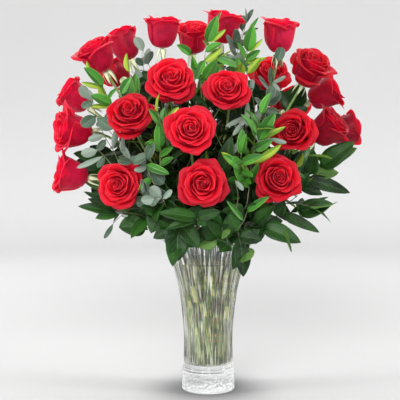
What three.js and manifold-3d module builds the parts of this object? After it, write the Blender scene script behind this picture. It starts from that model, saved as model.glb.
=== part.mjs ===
// Two dozen red roses with cut foliage in a flared crystal vase.
// Millimetres, +Z up. The origin is the middle of the vase's flat underside, and the front looks along -Y.
// The vase holds water with a plain hole for every stem. Each rose is a bloom seated on the calyx of its
// own stem, and each branch of foliage is one stem that forks into leafy sprigs.
import * as THREE from "three";
import { mergeVertices } from "three/addons/utils/BufferGeometryUtils.js";
import Module from "manifold-3d";

const wasm = await Module();
wasm.setup();
const { Manifold, Mesh: SolidMesh } = wasm;

// ---------------------------------------------------------------- driving dimensions

const GAP = 0.35; // between pieces that touch on the real object

const VASE = {
  flutes: 24,
  fluteDepth: 1.3,
  wall: 4,
  floor: 52, // a heavy base of solid glass stands under this
  foot: [[48.5, 0], [51.5, 3.5], [51.5, 43]], // [radius, height] up the outside
  body: [[47.9, 50], [47.7, 112], [54.4, 182], [63.5, 225], [74.5, 260], [88.5, 290]],
};
const WATER_LEVEL = 251;

const NECK = { z: 268, radius: 61, gap: 14, focus: 60, passes: 80 }; // where the stems bunch together
const FEET = { z: 53, share: 0.58, twist: 60 }; // the lower ends keep the neck's pattern, smaller and turned

const ROSE = {
  stemRadius: 2.6,
  stemSides: 4,
  neckReach: 75, // how far the stem runs straight below the bloom
  hipLength: 13,
  hipRadius: 6,
  sepalReach: 15,
  sepalDrop: 24,
};

// The bloom's middle x, y, z; the way it faces as azimuth (0 to the front, 90 to the right) and elevation;
// its width; how far it has opened, from 0 for a goblet to 1.
const ROSES = [
  [-208, -22, 641, -60, 58, 80, 0.5],
  [-165, 68, 667, -110, 62, 76, 0.2],
  [-86, -22, 690, 20, 84, 78, 0.1],
  [-28, 80, 682, 5, 68, 78, 0.4],
  [28, -8, 700, 60, 78, 80, 0.1],
  [136, 0, 682, 30, 80, 80, 0.1],
  [192, -24, 619, 35, 50, 83, 0.6],
  [120, 62, 603, 10, 45, 80, 0.5],
  [33, -140, 575, -6, 26, 84, 1],
  [-68, -132, 590, 2, 32, 90, 1],
  [-140, -140, 530, -10, 36, 86, 0.8],
  [-32, -202, 505, 0, 20, 92, 1],
  [-261, 62, 565, -80, 36, 78, 0.2],
  [-252, -42, 503, -66, 6, 88, 0.5],
  [-256, -58, 422, -78, 14, 82, 0.5],
  [-157, -152, 408, -16, 6, 84, 0.8],
  [-12, -192, 413, 0, 8, 86, 1],
  [122, -162, 420, 6, 12, 84, 1],
  [154, -126, 503, -14, 12, 84, 1],
  [228, 60, 572, 80, 26, 80, 0.2],
  [224, -22, 506, 70, 40, 82, 0.3],
  [266, 70, 501, 98, 14, 76, 0.2],
  [-184, 150, 612, -150, 24, 70, 0.5],
  [165, 150, 545, 150, 20, 76, 0.5],
];

// Leaves stand `spacing` apart down to the bare share of the sprig, singly or in pairs, and turn by `turn`
// degrees from one to the next. `lean` is the angle between stem and leaf, `spread` how far the leaf turns
// its upper side out of the bouquet, and `arch` how far the sprig's tip rises.
// Outlines are [share of length, share of half width].
const KINDS = {
  ruscus: {
    colour: 0x4f9a37,
    stemRadius: 1.9,
    twigRadius: 1.1,
    arch: 0.3,
    bare: 0.3,
    spacing: 42,
    pair: 1,
    turn: 137,
    lean: 42,
    spread: 0.8,
    length: 50,
    width: 19,
    thickness: 0.9,
    fold: 0.22,
    droop: 0.1,
    outline: [[0, 0], [0.42, 1], [1, 0]],
  },
  eucalyptus: {
    colour: 0x7d9a87,
    stemRadius: 1.8,
    twigRadius: 1.0,
    arch: 0.3,
    bare: 0.35,
    spacing: 54,
    pair: 2,
    turn: 90,
    lean: 58,
    spread: 0.4,
    length: 36,
    width: 29,
    thickness: 0.9,
    fold: 0.06,
    droop: 0.05,
    outline: [[0, 0], [0.3, 0.8], [0.75, 0.85], [1, 0]],
  },
  salal: {
    colour: 0x2c6326,
    stemRadius: 2.1,
    twigRadius: 1.4,
    arch: -0.6,
    bare: 0.22,
    spacing: 36,
    pair: 1,
    turn: 180,
    lean: 50,
    spread: 1.1,
    length: 70,
    width: 35,
    thickness: 1.0,
    fold: 0.14,
    droop: 0.2,
    outline: [[0, 0], [0.34, 0.95], [0.7, 0.75], [1, 0]],
  },
};

const FORK = { first: 2.3, step: 4.1 }; // sprigs leave one after the other below the main stem's end

// Each branch forks once, and its sprigs end at the points given.
const BRANCHES = {
  ruscus_left: { fork: [-48, -36, 372], ends: [[-214, -62, 600], [-146, -84, 612], [-90, -178, 540]] },
  ruscus_top: { fork: [6, -30, 410], ends: [[12, -64, 684], [76, -46, 676], [20, 130, 620]] },
  ruscus_right: { fork: [44, -60, 350], ends: [[92, -170, 535], [56, -205, 470], [190, 130, 500]] },
  eucalyptus_left: { fork: [-64, -50, 340], ends: [[-226, -40, 562], [-148, -178, 470], [-112, -186, 400]] },
  eucalyptus_top: { fork: [-14, 26, 420], ends: [[-126, 30, 654], [72, 20, 706], [-90, 140, 610]] },
  eucalyptus_right: { fork: [56, -6, 360], ends: [[130, -40, 632], [110, -96, 560], [110, 160, 500]] },
  salal_front_left: {
    fork: [-58, -66, 322],
    ends: [[-180, -100, 385], [-112, -140, 345], [-60, -158, 314], [-84, -150, 372]],
  },
  salal_front_right: {
    fork: [58, -66, 322],
    ends: [[186, -80, 364], [128, -128, 322], [66, -152, 296], [66, -150, 366]],
  },
  salal_back_left: { fork: [-56, 62, 326], ends: [[-196, 90, 420], [-130, 150, 360], [-30, 160, 400]] },
  salal_back_right: { fork: [58, 60, 326], ends: [[232, 30, 450], [150, 150, 380], [50, 160, 340]] },
};
const kindOf = (branchName) => KINDS[branchName.split("_")[0]];
const branchNames = Object.keys(BRANCHES);
const HEART = [0, 0, 400]; // leaves turn their upper sides away from here

// ---------------------------------------------------------------- small helpers

const vec = (x, y, z) => new THREE.Vector3(x, y, z);
const point = (list) => vec(...list);
const rad = THREE.MathUtils.degToRad;

// A fixed draw from -1 to 1 for each whole number.
function draw(key) {
  const s = Math.sin(key * 12.9898) * 43758.5453;
  return 2 * (s - Math.floor(s)) - 1;
}

function facing(azimuth, elevation) {
  const a = rad(azimuth);
  const e = rad(elevation);
  return vec(Math.sin(a) * Math.cos(e), -Math.cos(a) * Math.cos(e), Math.sin(e));
}

// A closed solid from a geometry, facing out. Equal vertices are merged, and triangles that have closed up
// are dropped.
function solidFrom(geometry) {
  const bare = new THREE.BufferGeometry().setAttribute("position", geometry.getAttribute("position"));
  bare.setIndex(geometry.index);
  const merged = mergeVertices(bare, 1e-3);
  const index = merged.index.array;
  const corners = [];
  for (let i = 0; i < index.length; i += 3) {
    const [a, b, c] = [index[i], index[i + 1], index[i + 2]];
    if (a !== b && b !== c && a !== c) corners.push(a, b, c);
  }
  const vertProperties = merged.attributes.position.array;
  const make = (triVerts) => new Manifold(new SolidMesh({ numProp: 3, vertProperties, triVerts }));
  const made = make(new Uint32Array(corners));
  return made.volume() < 0 ? make(new Uint32Array(corners.reverse())) : made;
}

function geometryFrom(solid) {
  const mesh = solid.getMesh();
  return new THREE.BufferGeometry()
    .setAttribute("position", new THREE.BufferAttribute(new Float32Array(mesh.vertProperties), 3))
    .setIndex(new THREE.BufferAttribute(new Uint32Array(mesh.triVerts), 1));
}

// Joins solids into the one body that they make; scraps that touch nothing are dropped.
function fuse(solids) {
  const bodies = solidFrom(geometryFrom(Manifold.union(solids))).decompose();
  return bodies.reduce((most, body) => (body.volume() > most.volume() ? body : most));
}

// A turned shape about +Z from [radius, height] pairs that start and end on the axis.
function turned(profile, segments) {
  const points = profile.map(([r, z]) => new THREE.Vector2(r, z));
  return new THREE.LatheGeometry(points, segments).rotateX(Math.PI / 2);
}

// Moves every vertex of a turned shape by change(ring, segment, vertex).
function reshape(geometry, rings, segments, change) {
  const at = geometry.getAttribute("position");
  const vertex = vec(0, 0, 0);
  for (let i = 0; i < at.count; i++) {
    vertex.fromBufferAttribute(at, i);
    change(i % rings, Math.floor(i / rings) % segments, vertex);
    at.setXYZ(i, vertex.x, vertex.y, vertex.z);
  }
  return geometry;
}

// A matrix that carries +Z to a direction and the origin to a place.
function standing(place, direction) {
  const turn = new THREE.Quaternion().setFromUnitVectors(vec(0, 0, 1), direction);
  return new THREE.Matrix4().compose(place, turn, vec(1, 1, 1));
}

// ---------------------------------------------------------------- stems

// Goes straight from foot to neck in the first of its steps, and along the bend in the others.
// A sprig has no straight part.
class StemPath extends THREE.Curve {
  constructor(bend, steps, foot, neck) {
    super();
    this.bend = bend;
    this.straight = foot && new THREE.LineCurve3(foot, neck);
    this.first = foot ? 1 / steps : 0;
  }
  getPoint(t) {
    if (t < this.first) return this.straight.getPoint(t / this.first);
    return this.bend.getPoint((t - this.first) / (1 - this.first));
  }
  getTangent(t) {
    if (t < this.first) return this.straight.getTangent(0);
    return this.bend.getTangent((t - this.first) / (1 - this.first));
  }
  getPointAt(t) {
    return this.getPoint(t);
  }
  getTangentAt(t) {
    return this.getTangent(t);
  }
}

function tube(path, radius, sides, steps) {
  const section = [];
  for (let i = 0; i < sides; i++) {
    const a = (2 * Math.PI * i) / sides;
    section.push(new THREE.Vector2(radius * Math.cos(a), radius * Math.sin(a)));
  }
  const options = { extrudePath: path, steps, bevelEnabled: false };
  return solidFrom(new THREE.ExtrudeGeometry(new THREE.Shape(section), options));
}

// A curve that leaves `from` along `out` and reaches `to` along `into`, bowed sideways by `bow`.
function bendBetween(from, out, to, into, reach, bow = vec(0, 0, 0)) {
  const leave = from.distanceTo(to) * 0.35;
  return new THREE.CubicBezierCurve3(
    from,
    from.clone().addScaledVector(out, leave).add(bow),
    to.clone().addScaledVector(into, -reach).add(bow),
    to,
  );
}

// The stems' places in the neck of the vase. What leans further out passes further out, and then they
// share the room.
function spreadInNeck(targets) {
  const places = targets.map(([x, y, z]) => {
    const reach = (NECK.z - NECK.focus) / (z - NECK.focus);
    const across = Math.hypot(x, y);
    const held = NECK.radius * (1 - Math.exp((-across * reach) / NECK.radius));
    return [(x * held) / across, (y * held) / across];
  });
  for (let pass = 0; pass < NECK.passes; pass++) {
    for (let i = 0; i < places.length; i++) {
      for (let j = i + 1; j < places.length; j++) {
        const dx = places[j][0] - places[i][0];
        const dy = places[j][1] - places[i][1];
        const apart = Math.hypot(dx, dy);
        if (apart >= NECK.gap) continue;
        const push = (NECK.gap - apart) / 2 / apart;
        places[i] = [places[i][0] - dx * push, places[i][1] - dy * push];
        places[j] = [places[j][0] + dx * push, places[j][1] + dy * push];
      }
    }
    for (const place of places) {
      const over = Math.hypot(...place) / NECK.radius;
      if (over > 1) {
        place[0] /= over;
        place[1] /= over;
      }
    }
  }
  return places;
}

const heads = [...ROSES.map((rose) => rose.slice(0, 3)), ...Object.values(BRANCHES).map(({ fork }) => fork)];
const stands = spreadInNeck(heads).map(([x, y]) => ({
  neck: vec(x, y, NECK.z),
  foot: vec(x, y, 0).multiplyScalar(FEET.share).applyAxisAngle(vec(0, 0, 1), rad(FEET.twist)).setZ(FEET.z),
}));

// ---------------------------------------------------------------- the vase and its water

function makeVase() {
  const outline = [[0, 0], ...VASE.foot, ...VASE.body, [0, VASE.body.at(-1)[1]]];
  const segments = 2 * VASE.flutes;
  const body = reshape(turned(outline, segments), outline.length, segments, (ring, segment, vertex) => {
    const fluted = ring > VASE.foot.length + 1 && ring < outline.length - 1;
    if (!fluted || segment % 2 === 0) return;
    const across = Math.hypot(vertex.x, vertex.y);
    vertex.x *= 1 - VASE.fluteDepth / across;
    vertex.y *= 1 - VASE.fluteDepth / across;
  });
  return solidFrom(body).subtract(solidFrom(turned(cavity(0, 400), VASE.flutes)));
}

// The outline of the vase's inside, `inset` clear of the glass, cut off level at `top`.
function cavity(inset, top) {
  const wall = VASE.body.slice(1).map(([r, z]) => [r - VASE.wall - inset, z]);
  const base = VASE.floor + inset;
  const side = VASE.body[0][0] - VASE.wall - inset;
  const outline = [[0, base], [side - 4, base], [side, base + 4], ...wall];
  const [[r1, z1], [r2, z2]] = outline.slice(-2);
  outline.push([r2 + ((r2 - r1) * 20) / (z2 - z1), z2 + 20]); // the cut passes clean out of the rim
  const kept = outline.filter(([, z]) => z < top);
  if (kept.length < outline.length) {
    const [ra, za] = kept.at(-1);
    const [rb, zb] = outline[kept.length];
    kept.push([ra + ((rb - ra) * (top - za)) / (zb - za), top]);
  }
  return [...kept, [0, kept.at(-1)[1]]];
}

function makeWater() {
  const sides = 5;
  const holes = stands.map(({ foot, neck }, i) => {
    const stem = i < ROSES.length ? ROSE.stemRadius : kindOf(branchNames[i - ROSES.length]).stemRadius;
    const below = foot.clone().lerp(neck, -0.1);
    return tube(new THREE.LineCurve3(below, neck), (stem + GAP) / Math.cos(Math.PI / sides), sides, 1);
  });
  return solidFrom(turned(cavity(GAP, WATER_LEVEL), VASE.flutes)).subtract(Manifold.union(holes));
}

// ---------------------------------------------------------------- roses

// Rings of the bloom from its base, up the outside of the outer petals, over each whorl's lip and down into
// the next valley: shares of radius and height, the whorl, and how far its petals stand out there.
const BLOOM_RINGS = [
  [0, 0, 0, 0],
  [0.38, 0.02, 0, 0.1],
  [0.8, 0.3, 0, 0.5],
  [0.96, 0.7, 0, 1],
  [0.68, 0.44, 0, 0.1],
  [0.64, 0.88, 1, 0.9],
  [0.4, 0.62, 1, 0.1],
  [0.36, 1, 2, 0.8],
  [0.2, 0.8, 2, 0.3],
  [0, 0.88, 2, 0],
];
const PETALS = 5;
const STEPS_PER_PETAL = 3;
// Within a petal: degrees from its leading edge, how far it stands out, and how high its edge rises.
const PETAL_EDGE = [[0, 0.5, -0.5], [34, 1, 1], [64, -0.9, -0.7]];

function makeBloom(rose, seed) {
  const [, , , , , width, open] = rose;
  const { way, seat } = seatOf(rose);
  const rings = BLOOM_RINGS.length;
  const segments = PETALS * STEPS_PER_PETAL;
  const radius = width / 2;
  const height = bloomHeight(width, open);
  const closed = 1 - open;
  const bloom = reshape(turned(BLOOM_RINGS, segments), rings, segments, (ring, segment, vertex) => {
    const [r, z, whorl, lift] = BLOOM_RINGS[ring];
    const step = (segment + whorl) % STEPS_PER_PETAL;
    const petal = Math.floor(((segment + whorl) % segments) / STEPS_PER_PETAL);
    const [turn, out, rise] = PETAL_EDGE[step];
    const angle = rad(petal * (360 / PETALS) + turn - (whorl * 360) / segments + 4 * draw(seed + petal));
    const own = draw(seed + 7 * petal + 31 * whorl);
    // a goblet keeps its outer petals steeper and their lips higher than an open bloom
    const cup = whorl === 0 ? closed * lift : 0;
    const across = radius * (r * (1 - 0.14 * cup) + lift * (0.075 * out + 0.03 * own));
    const up = height * (z + 0.16 * cup + lift * (0.055 * rise + 0.03 * own));
    vertex.set(r && across * Math.cos(angle), r && across * Math.sin(angle), up);
  });
  return solidFrom(bloom.applyMatrix4(standing(seat, way)));
}

const bloomHeight = (width, open) => width * (0.84 - 0.2 * open);

function makeCalyx() {
  const { hipLength, hipRadius, sepalReach, sepalDrop } = ROSE;
  const rings = [[0, -hipLength], [hipRadius, -4.5], [hipRadius + 0.5, -1.2], [0, 0]];
  return reshape(turned(rings, 10), rings.length, 10, (ring, segment, vertex) => {
    if (segment % 2 || (ring !== 1 && ring !== 2)) return;
    const reach = sepalReach + (ring === 2 ? 1 : 0);
    const share = reach / Math.hypot(vertex.x, vertex.y);
    vertex.set(vertex.x * share, vertex.y * share, -sepalDrop + (ring === 2 ? 0.8 : 0));
  });
}

// The place under a bloom where its petals join the calyx.
function seatOf([x, y, z, azimuth, elevation, width, open]) {
  const way = facing(azimuth, elevation);
  return { way, seat: vec(x, y, z).addScaledVector(way, -bloomHeight(width, open) / 2) };
}

function makeRoseStem(rose, { foot, neck }) {
  const { way, seat } = seatOf(rose);
  const below = seat.clone().addScaledVector(way, -GAP);
  const end = below.clone().addScaledVector(way, -ROSE.hipLength * 0.5);
  const along = neck.clone().sub(foot).normalize();
  const steps = 5;
  const { solid } = clearTube((bow) => {
    const bend = bendBetween(neck, along, end, way, ROSE.neckReach, bow);
    return { bend, path: new StemPath(bend, steps, foot, neck) };
  }, ROSE.stemRadius, ROSE.stemSides, steps);
  return fuse([solid, solidFrom(makeCalyx().applyMatrix4(standing(below, way)))]);
}

// ---------------------------------------------------------------- leaves and sprigs

// A thin closed blade round a middle surface, given as rows of three points from root to tip.
// Both faces are split into triangles alike, and the rim joins them.
function blade(rows, up, thickness) {
  const places = [0.5, -0.5].flatMap((side) =>
    rows.flat().flatMap((place) => place.clone().addScaledVector(up, side * thickness).toArray()),
  );
  const top = (row, column) => 3 * row + column;
  const under = (row, column) => 3 * rows.length + top(row, column);
  const faces = [];
  const quad = (a, b, c, d) => faces.push(a, b, c, a, c, d);
  for (let row = 0; row < rows.length - 1; row++) {
    const next = row + 1;
    quad(top(row, 0), top(next, 0), top(next, 1), top(row, 1));
    quad(top(next, 1), top(next, 2), top(row, 2), top(row, 1));
    quad(under(next, 1), under(next, 0), under(row, 0), under(row, 1));
    quad(under(row, 2), under(next, 2), under(next, 1), under(row, 1));
    quad(under(row, 0), under(next, 0), top(next, 0), top(row, 0));
    quad(top(row, 2), top(next, 2), under(next, 2), under(row, 2));
  }
  return new THREE.BufferGeometry()
    .setAttribute("position", new THREE.BufferAttribute(new Float32Array(places), 3))
    .setIndex(faces);
}

// A leaf from `root` along `way`, its upper side towards `face`.
function makeLeaf(kind, root, way, face, size, thickness) {
  const side = way.clone().cross(face).normalize();
  const length = kind.length * size;
  const rows = kind.outline.map(([along, across]) => {
    const out = (across * kind.width * size) / 2;
    return [-1, 0, 1].map((v) => {
      const place = root.clone().addScaledVector(way, length * along).addScaledVector(side, v * out);
      return place.addScaledVector(face, kind.fold * Math.abs(v * out) - kind.droop * length * along ** 2);
    });
  });
  return solidFrom(blade(rows, face, thickness));
}

// What is already in place, so that later pieces can be bent clear of it.
const placed = [];

const asPlaced = (solid) => ({ solid, box: solid.boundingBox() });

function meets(solid, others) {
  const { min, max } = solid.boundingBox();
  return others.some(({ solid: other, box }) => {
    const near = min.every((low, i) => low < box.max[i] && max[i] > box.min[i]);
    return near && solid.intersect(other).volume() > 0.001;
  });
}

// Ways to bow a stem and to swing a leaf, tried in turn until it is clear of its neighbours.
const BOWS = [vec(0, 0, 0)];
for (const reach of [12, 24, 36, 50]) {
  for (let a = 0; a < 360; a += 45) BOWS.push(vec(reach * Math.cos(rad(a)), reach * Math.sin(rad(a)), 0));
}
const SWINGS = [];
for (const turn of [0, 28, -28, 56, -56, 90, -90, 130, -130]) {
  for (const tilt of [0, -18, 18]) SWINGS.push({ turn, tilt });
}

// The first path among the bows whose slightly stouter stem is clear of all that is in place, made to size.
function clearTube(makePath, radius, sides, steps) {
  for (const bow of BOWS) {
    const { bend, path } = makePath(bow);
    if (meets(tube(path, radius + GAP, sides, steps), placed)) continue;
    return { bend, solid: tube(path, radius, sides, steps) };
  }
  return null;
}

function makeSprig(kind, fork, out, end) {
  const chord = end.clone().sub(fork);
  const into = chord.clone().normalize().add(vec(0, 0, kind.arch)).normalize();
  const steps = 3;
  return clearTube((bow) => {
    const bend = bendBetween(fork, out, end, into, chord.length() * 0.35, bow);
    return { bend, path: new StemPath(bend, steps) };
  }, kind.twigRadius, 3, steps);
}

// Leaves down a sprig from the one at its tip. Each is swung or tilted until it is clear.
function leavesOn(kind, { bend, solid: twig }, seed, own) {
  const length = bend.getLength();
  const count = Math.floor((length * (1 - kind.bare)) / kind.spacing);
  const leaves = [];
  for (let i = 0; i <= count; i++) {
    const t = 1 - (i * kind.spacing) / length;
    const root = bend.getPointAt(t);
    const stem = bend.getTangentAt(t);
    const light = root.clone().sub(point(HEART)).normalize();
    const aside = stem.clone().cross(light).normalize();
    for (let copy = 0; copy < (i ? kind.pair : 1); copy++) {
      const key = seed + 3 * i + copy;
      const size = (i ? 1 : 0.85) * (0.92 + 0.12 * draw(key));
      const rank = kind.turn * i + 180 * copy + 14 * draw(key + 0.5);
      for (const { turn, tilt } of SWINGS) {
        const lean = rad(i ? kind.lean + tilt : 10 + Math.abs(tilt));
        const outward = aside.clone().applyAxisAngle(stem, rad(rank + turn));
        const way = stem.clone().multiplyScalar(Math.cos(lean)).addScaledVector(outward, Math.sin(lean));
        const face = stem.clone().multiplyScalar(Math.sin(lean)).addScaledVector(outward, -Math.cos(lean));
        face.addScaledVector(light, kind.spread);
        face.addScaledVector(way, -face.dot(way)).normalize();
        const start = root.clone().addScaledVector(way, -kind.twigRadius * 0.5);
        const stouter = makeLeaf(kind, start, way, face, size * 1.02, kind.thickness + 2 * GAP);
        if (meets(stouter, placed) || meets(stouter.subtract(twig), own)) continue;
        const leaf = makeLeaf(kind, start, way, face, size, kind.thickness);
        own.push(asPlaced(leaf));
        leaves.push(leaf);
        break;
      }
    }
  }
  return leaves;
}

function makeBranch(name, { foot, neck }, seed) {
  const kind = kindOf(name);
  const fork = point(BRANCHES[name].fork);
  const along = neck.clone().sub(foot).normalize();
  const up = vec(fork.x, fork.y, 160).normalize();
  const steps = 4;
  const stem = clearTube((bow) => {
    const bend = bendBetween(neck, along, fork, up, 25, bow);
    return { bend, path: new StemPath(bend, steps, foot, neck) };
  }, kind.stemRadius, 4, steps);
  const sprigs = BRANCHES[name].ends.map((end, i) => {
    const start = fork.clone().addScaledVector(up, -FORK.first - FORK.step * i);
    return makeSprig(kind, start, up, point(end));
  });
  const leaves = [];
  sprigs.forEach((sprig, i) => {
    const others = [stem, ...sprigs.filter((other) => other !== sprig)].map(({ solid }) => solid);
    leaves.push(...leavesOn(kind, sprig, seed + 100 * i, [...others, ...leaves].map(asPlaced)));
  });
  return fuse([stem.solid, ...sprigs.map(({ solid }) => solid), ...leaves]);
}

// ---------------------------------------------------------------- the bouquet

const bouquet = new THREE.Group();

function add(name, solid, look) {
  placed.push(asPlaced(solid));
  const mesh = new THREE.Mesh(geometryFrom(solid), new THREE.MeshStandardMaterial({ metalness: 0, ...look }));
  mesh.name = name;
  bouquet.add(mesh);
}

const roseName = (i, piece) => `rose_${String(i + 1).padStart(2, "0")}_${piece}`;

add("vase", makeVase(), { color: 0xf2f5f6, roughness: 0.04, transparent: true, opacity: 0.35 });
add("water", makeWater(), { color: 0xe6efec, roughness: 0.02, transparent: true, opacity: 0.35 });
ROSES.forEach((rose, i) => {
  add(roseName(i, "bloom"), makeBloom(rose, 100 * i), { color: 0xb5101f, roughness: 0.55 });
});
ROSES.forEach((rose, i) => {
  add(roseName(i, "stem"), makeRoseStem(rose, stands[i]), { color: 0x5d7d3a, roughness: 0.6 });
});
branchNames.forEach((name, i) => {
  const solid = makeBranch(name, stands[ROSES.length + i], 5000 + 1000 * i);
  add(name, solid, { color: kindOf(name).colour, roughness: 0.5 });
});

export default bouquet;
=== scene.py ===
# Two dozen red roses with cut foliage in a flared crystal vase, on a pale studio sweep.
# The layout repeats the solids' own rules, in millimetres, so each fine piece stands where its solid stands.
import math
import bpy
import numpy as np
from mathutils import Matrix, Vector, kdtree, noise


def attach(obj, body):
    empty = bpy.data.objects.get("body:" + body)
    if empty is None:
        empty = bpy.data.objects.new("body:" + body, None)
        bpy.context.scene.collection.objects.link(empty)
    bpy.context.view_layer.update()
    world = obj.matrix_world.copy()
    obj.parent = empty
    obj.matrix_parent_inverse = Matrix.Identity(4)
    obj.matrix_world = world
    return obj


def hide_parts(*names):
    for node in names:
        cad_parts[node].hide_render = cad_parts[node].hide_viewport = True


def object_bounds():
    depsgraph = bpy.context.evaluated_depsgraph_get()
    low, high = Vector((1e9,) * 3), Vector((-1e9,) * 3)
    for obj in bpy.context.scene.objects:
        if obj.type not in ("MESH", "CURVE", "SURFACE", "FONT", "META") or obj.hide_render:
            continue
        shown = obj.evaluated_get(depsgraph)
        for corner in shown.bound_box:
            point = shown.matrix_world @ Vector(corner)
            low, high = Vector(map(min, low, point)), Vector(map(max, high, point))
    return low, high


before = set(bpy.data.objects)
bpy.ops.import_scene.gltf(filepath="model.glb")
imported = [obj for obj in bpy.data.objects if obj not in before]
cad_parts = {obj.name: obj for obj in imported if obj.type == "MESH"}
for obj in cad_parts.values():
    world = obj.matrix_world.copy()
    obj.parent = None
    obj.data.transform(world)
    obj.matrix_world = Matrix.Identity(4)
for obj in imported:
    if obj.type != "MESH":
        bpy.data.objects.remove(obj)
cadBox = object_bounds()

millimetre = 0.001
print("frame loaded:", len(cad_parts), "solids")

# layout, as in the solids

gap = 0.35
neck = {"z": 268, "radius": 61, "gap": 14, "focus": 60, "passes": 80}
feet = {"z": 53, "share": 0.58, "twist": 60}
heart = np.array([0.0, 0.0, 400.0])
seeds = {"bloom": 100, "roseStem": 300, "branch": 500}
leafKeys = {"first": 5000, "branch": 1000, "sprig": 100}
# how a solid's leaves vary: the first one's size and lean, the others' size and its spread, and their twist
leafRule = {"first": 0.85, "firstLean": 10, "size": 0.92, "spread": 0.12, "twist": 14}
fork = {"first": 2.3, "step": 4.1, "reach": 25}

# middle x, y, z; facing azimuth and elevation; width; how far open
roseTable = [
    (-208, -22, 641, -60, 58, 80, 0.5),
    (-165, 68, 667, -110, 62, 76, 0.2),
    (-86, -22, 690, 20, 84, 78, 0.1),
    (-28, 80, 682, 5, 68, 78, 0.4),
    (28, -8, 700, 60, 78, 80, 0.1),
    (136, 0, 682, 30, 80, 80, 0.1),
    (192, -24, 619, 35, 50, 83, 0.6),
    (120, 62, 603, 10, 45, 80, 0.5),
    (33, -140, 575, -6, 26, 84, 1),
    (-68, -132, 590, 2, 32, 90, 1),
    (-140, -140, 530, -10, 36, 86, 0.8),
    (-32, -202, 505, 0, 20, 92, 1),
    (-261, 62, 565, -80, 36, 78, 0.2),
    (-252, -42, 503, -66, 6, 88, 0.5),
    (-256, -58, 422, -78, 14, 82, 0.5),
    (-157, -152, 408, -16, 6, 84, 0.8),
    (-12, -192, 413, 0, 8, 86, 1),
    (122, -162, 420, 6, 12, 84, 1),
    (154, -126, 503, -14, 12, 84, 1),
    (228, 60, 572, 80, 26, 80, 0.2),
    (224, -22, 506, 70, 40, 82, 0.3),
    (266, 70, 501, 98, 14, 76, 0.2),
    (-184, 150, 612, -150, 24, 70, 0.5),
    (165, 150, 545, 150, 20, 76, 0.5),
]

# by a rose's number in the table, from 1: how much darker its red is, partly its own deeper red and partly
# painted shade; how far open its petals are where it turns away; and the share of the usual height that its
# petals reach
redToneAndShade = {
    1: 0.1, 2: 0.4, 3: 0.35, 7: 0.65, 8: 0.2, 11: 0.35, 18: 0.4, 19: 0.65, 20: 0.65, 21: 1.0, 22: 0.9,
    23: 0.4, 24: 0.75,
}
turnedAway = {1: 0.4, 14: 0.45, 15: 0.3}
lowPetals = {3: 0.9, 5: 0.92}

roseStem = {
    "radius": 2.6, "neckReach": 75, "hipLength": 13,
    "hip": [
        (2.3, -15), (2.7, -12.5), (4.2, -9.5), (5.8, -6), (6.0, -3.5), (5.4, -1.5), (3.5, -0.4), (0.05, 0),
    ],
    "sepals": 5, "sepalReach": 11, "sepalDrop": 28, "sepalWidth": 10.5, "thorns": 9,
}

foliageKinds = {
    "ruscus": {
        "stemRadius": 1.9, "twigRadius": 1.1, "arch": 0.3, "bare": 0.3, "spacing": 42, "pair": 1,
        "turn": 137, "lean": 42, "spread": 0.8, "length": 50, "width": 19, "thickness": 0.9, "fold": 0.45,
        "droop": 0.1, "swell": (0.55, 0.76), "petiole": 0.02, "wave": 0.5, "fineSpacing": 15, "filler": 5,
        "shownWidth": 1.08,
    },
    "eucalyptus": {
        "stemRadius": 1.8, "twigRadius": 1.0, "arch": 0.3, "bare": 0.35, "spacing": 54, "pair": 2, "turn": 90,
        "lean": 58, "spread": 0.4, "length": 36, "width": 24, "thickness": 0.9, "fold": 0.12, "droop": 0.05,
        "swell": (0.5, 0.5), "petiole": 0.1, "wave": 0.3, "fineSpacing": 20, "filler": 4, "shownWidth": 1.0,
    },
    "salal": {
        "stemRadius": 2.1, "twigRadius": 1.4, "arch": -0.6, "bare": 0.22, "spacing": 36, "pair": 1,
        "turn": 180, "lean": 50, "spread": 1.1, "length": 70, "width": 35, "thickness": 1.0, "fold": 0.24,
        "droop": 0.2, "swell": (0.42, 0.8), "petiole": 0.05, "wave": 1.2, "fineSpacing": 22, "filler": 11,
        "shownWidth": 1.18,
    },
}

# the fork, then where each sprig ends
branchTable = {
    "ruscus_left": ((-48, -36, 372), [(-214, -62, 600), (-146, -84, 612), (-90, -178, 540)]),
    "ruscus_top": ((6, -30, 410), [(12, -64, 684), (76, -46, 676), (20, 130, 620)]),
    "ruscus_right": ((44, -60, 350), [(92, -170, 535), (56, -205, 470), (190, 130, 500)]),
    "eucalyptus_left": ((-64, -50, 340), [(-226, -40, 562), (-148, -178, 470), (-112, -186, 400)]),
    "eucalyptus_top": ((-14, 26, 420), [(-126, 30, 654), (72, 20, 706), (-90, 140, 610)]),
    "eucalyptus_right": ((56, -6, 360), [(130, -40, 632), (110, -96, 560), (110, 160, 500)]),
    "salal_front_left": (
        (-58, -66, 322), [(-180, -100, 385), (-112, -140, 345), (-60, -158, 314), (-84, -150, 372)],
    ),
    "salal_front_right": (
        (58, -66, 322), [(186, -80, 364), (128, -128, 322), (66, -152, 296), (66, -150, 366)],
    ),
    "salal_back_left": ((-56, 62, 326), [(-196, 90, 420), (-130, 150, 360), (-30, 160, 400)]),
    "salal_back_right": ((58, 60, 326), [(232, 30, 450), (150, 150, 380), (50, 160, 340)]),
}

# where the photograph was taken from; reach is the distance at which one of its pixels is one unit across
camera = {"place": (-16, -2200, 558), "target": (-16, 0, 368.5), "reach": 1147, "pixels": 400, "sensor": 36}

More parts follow.
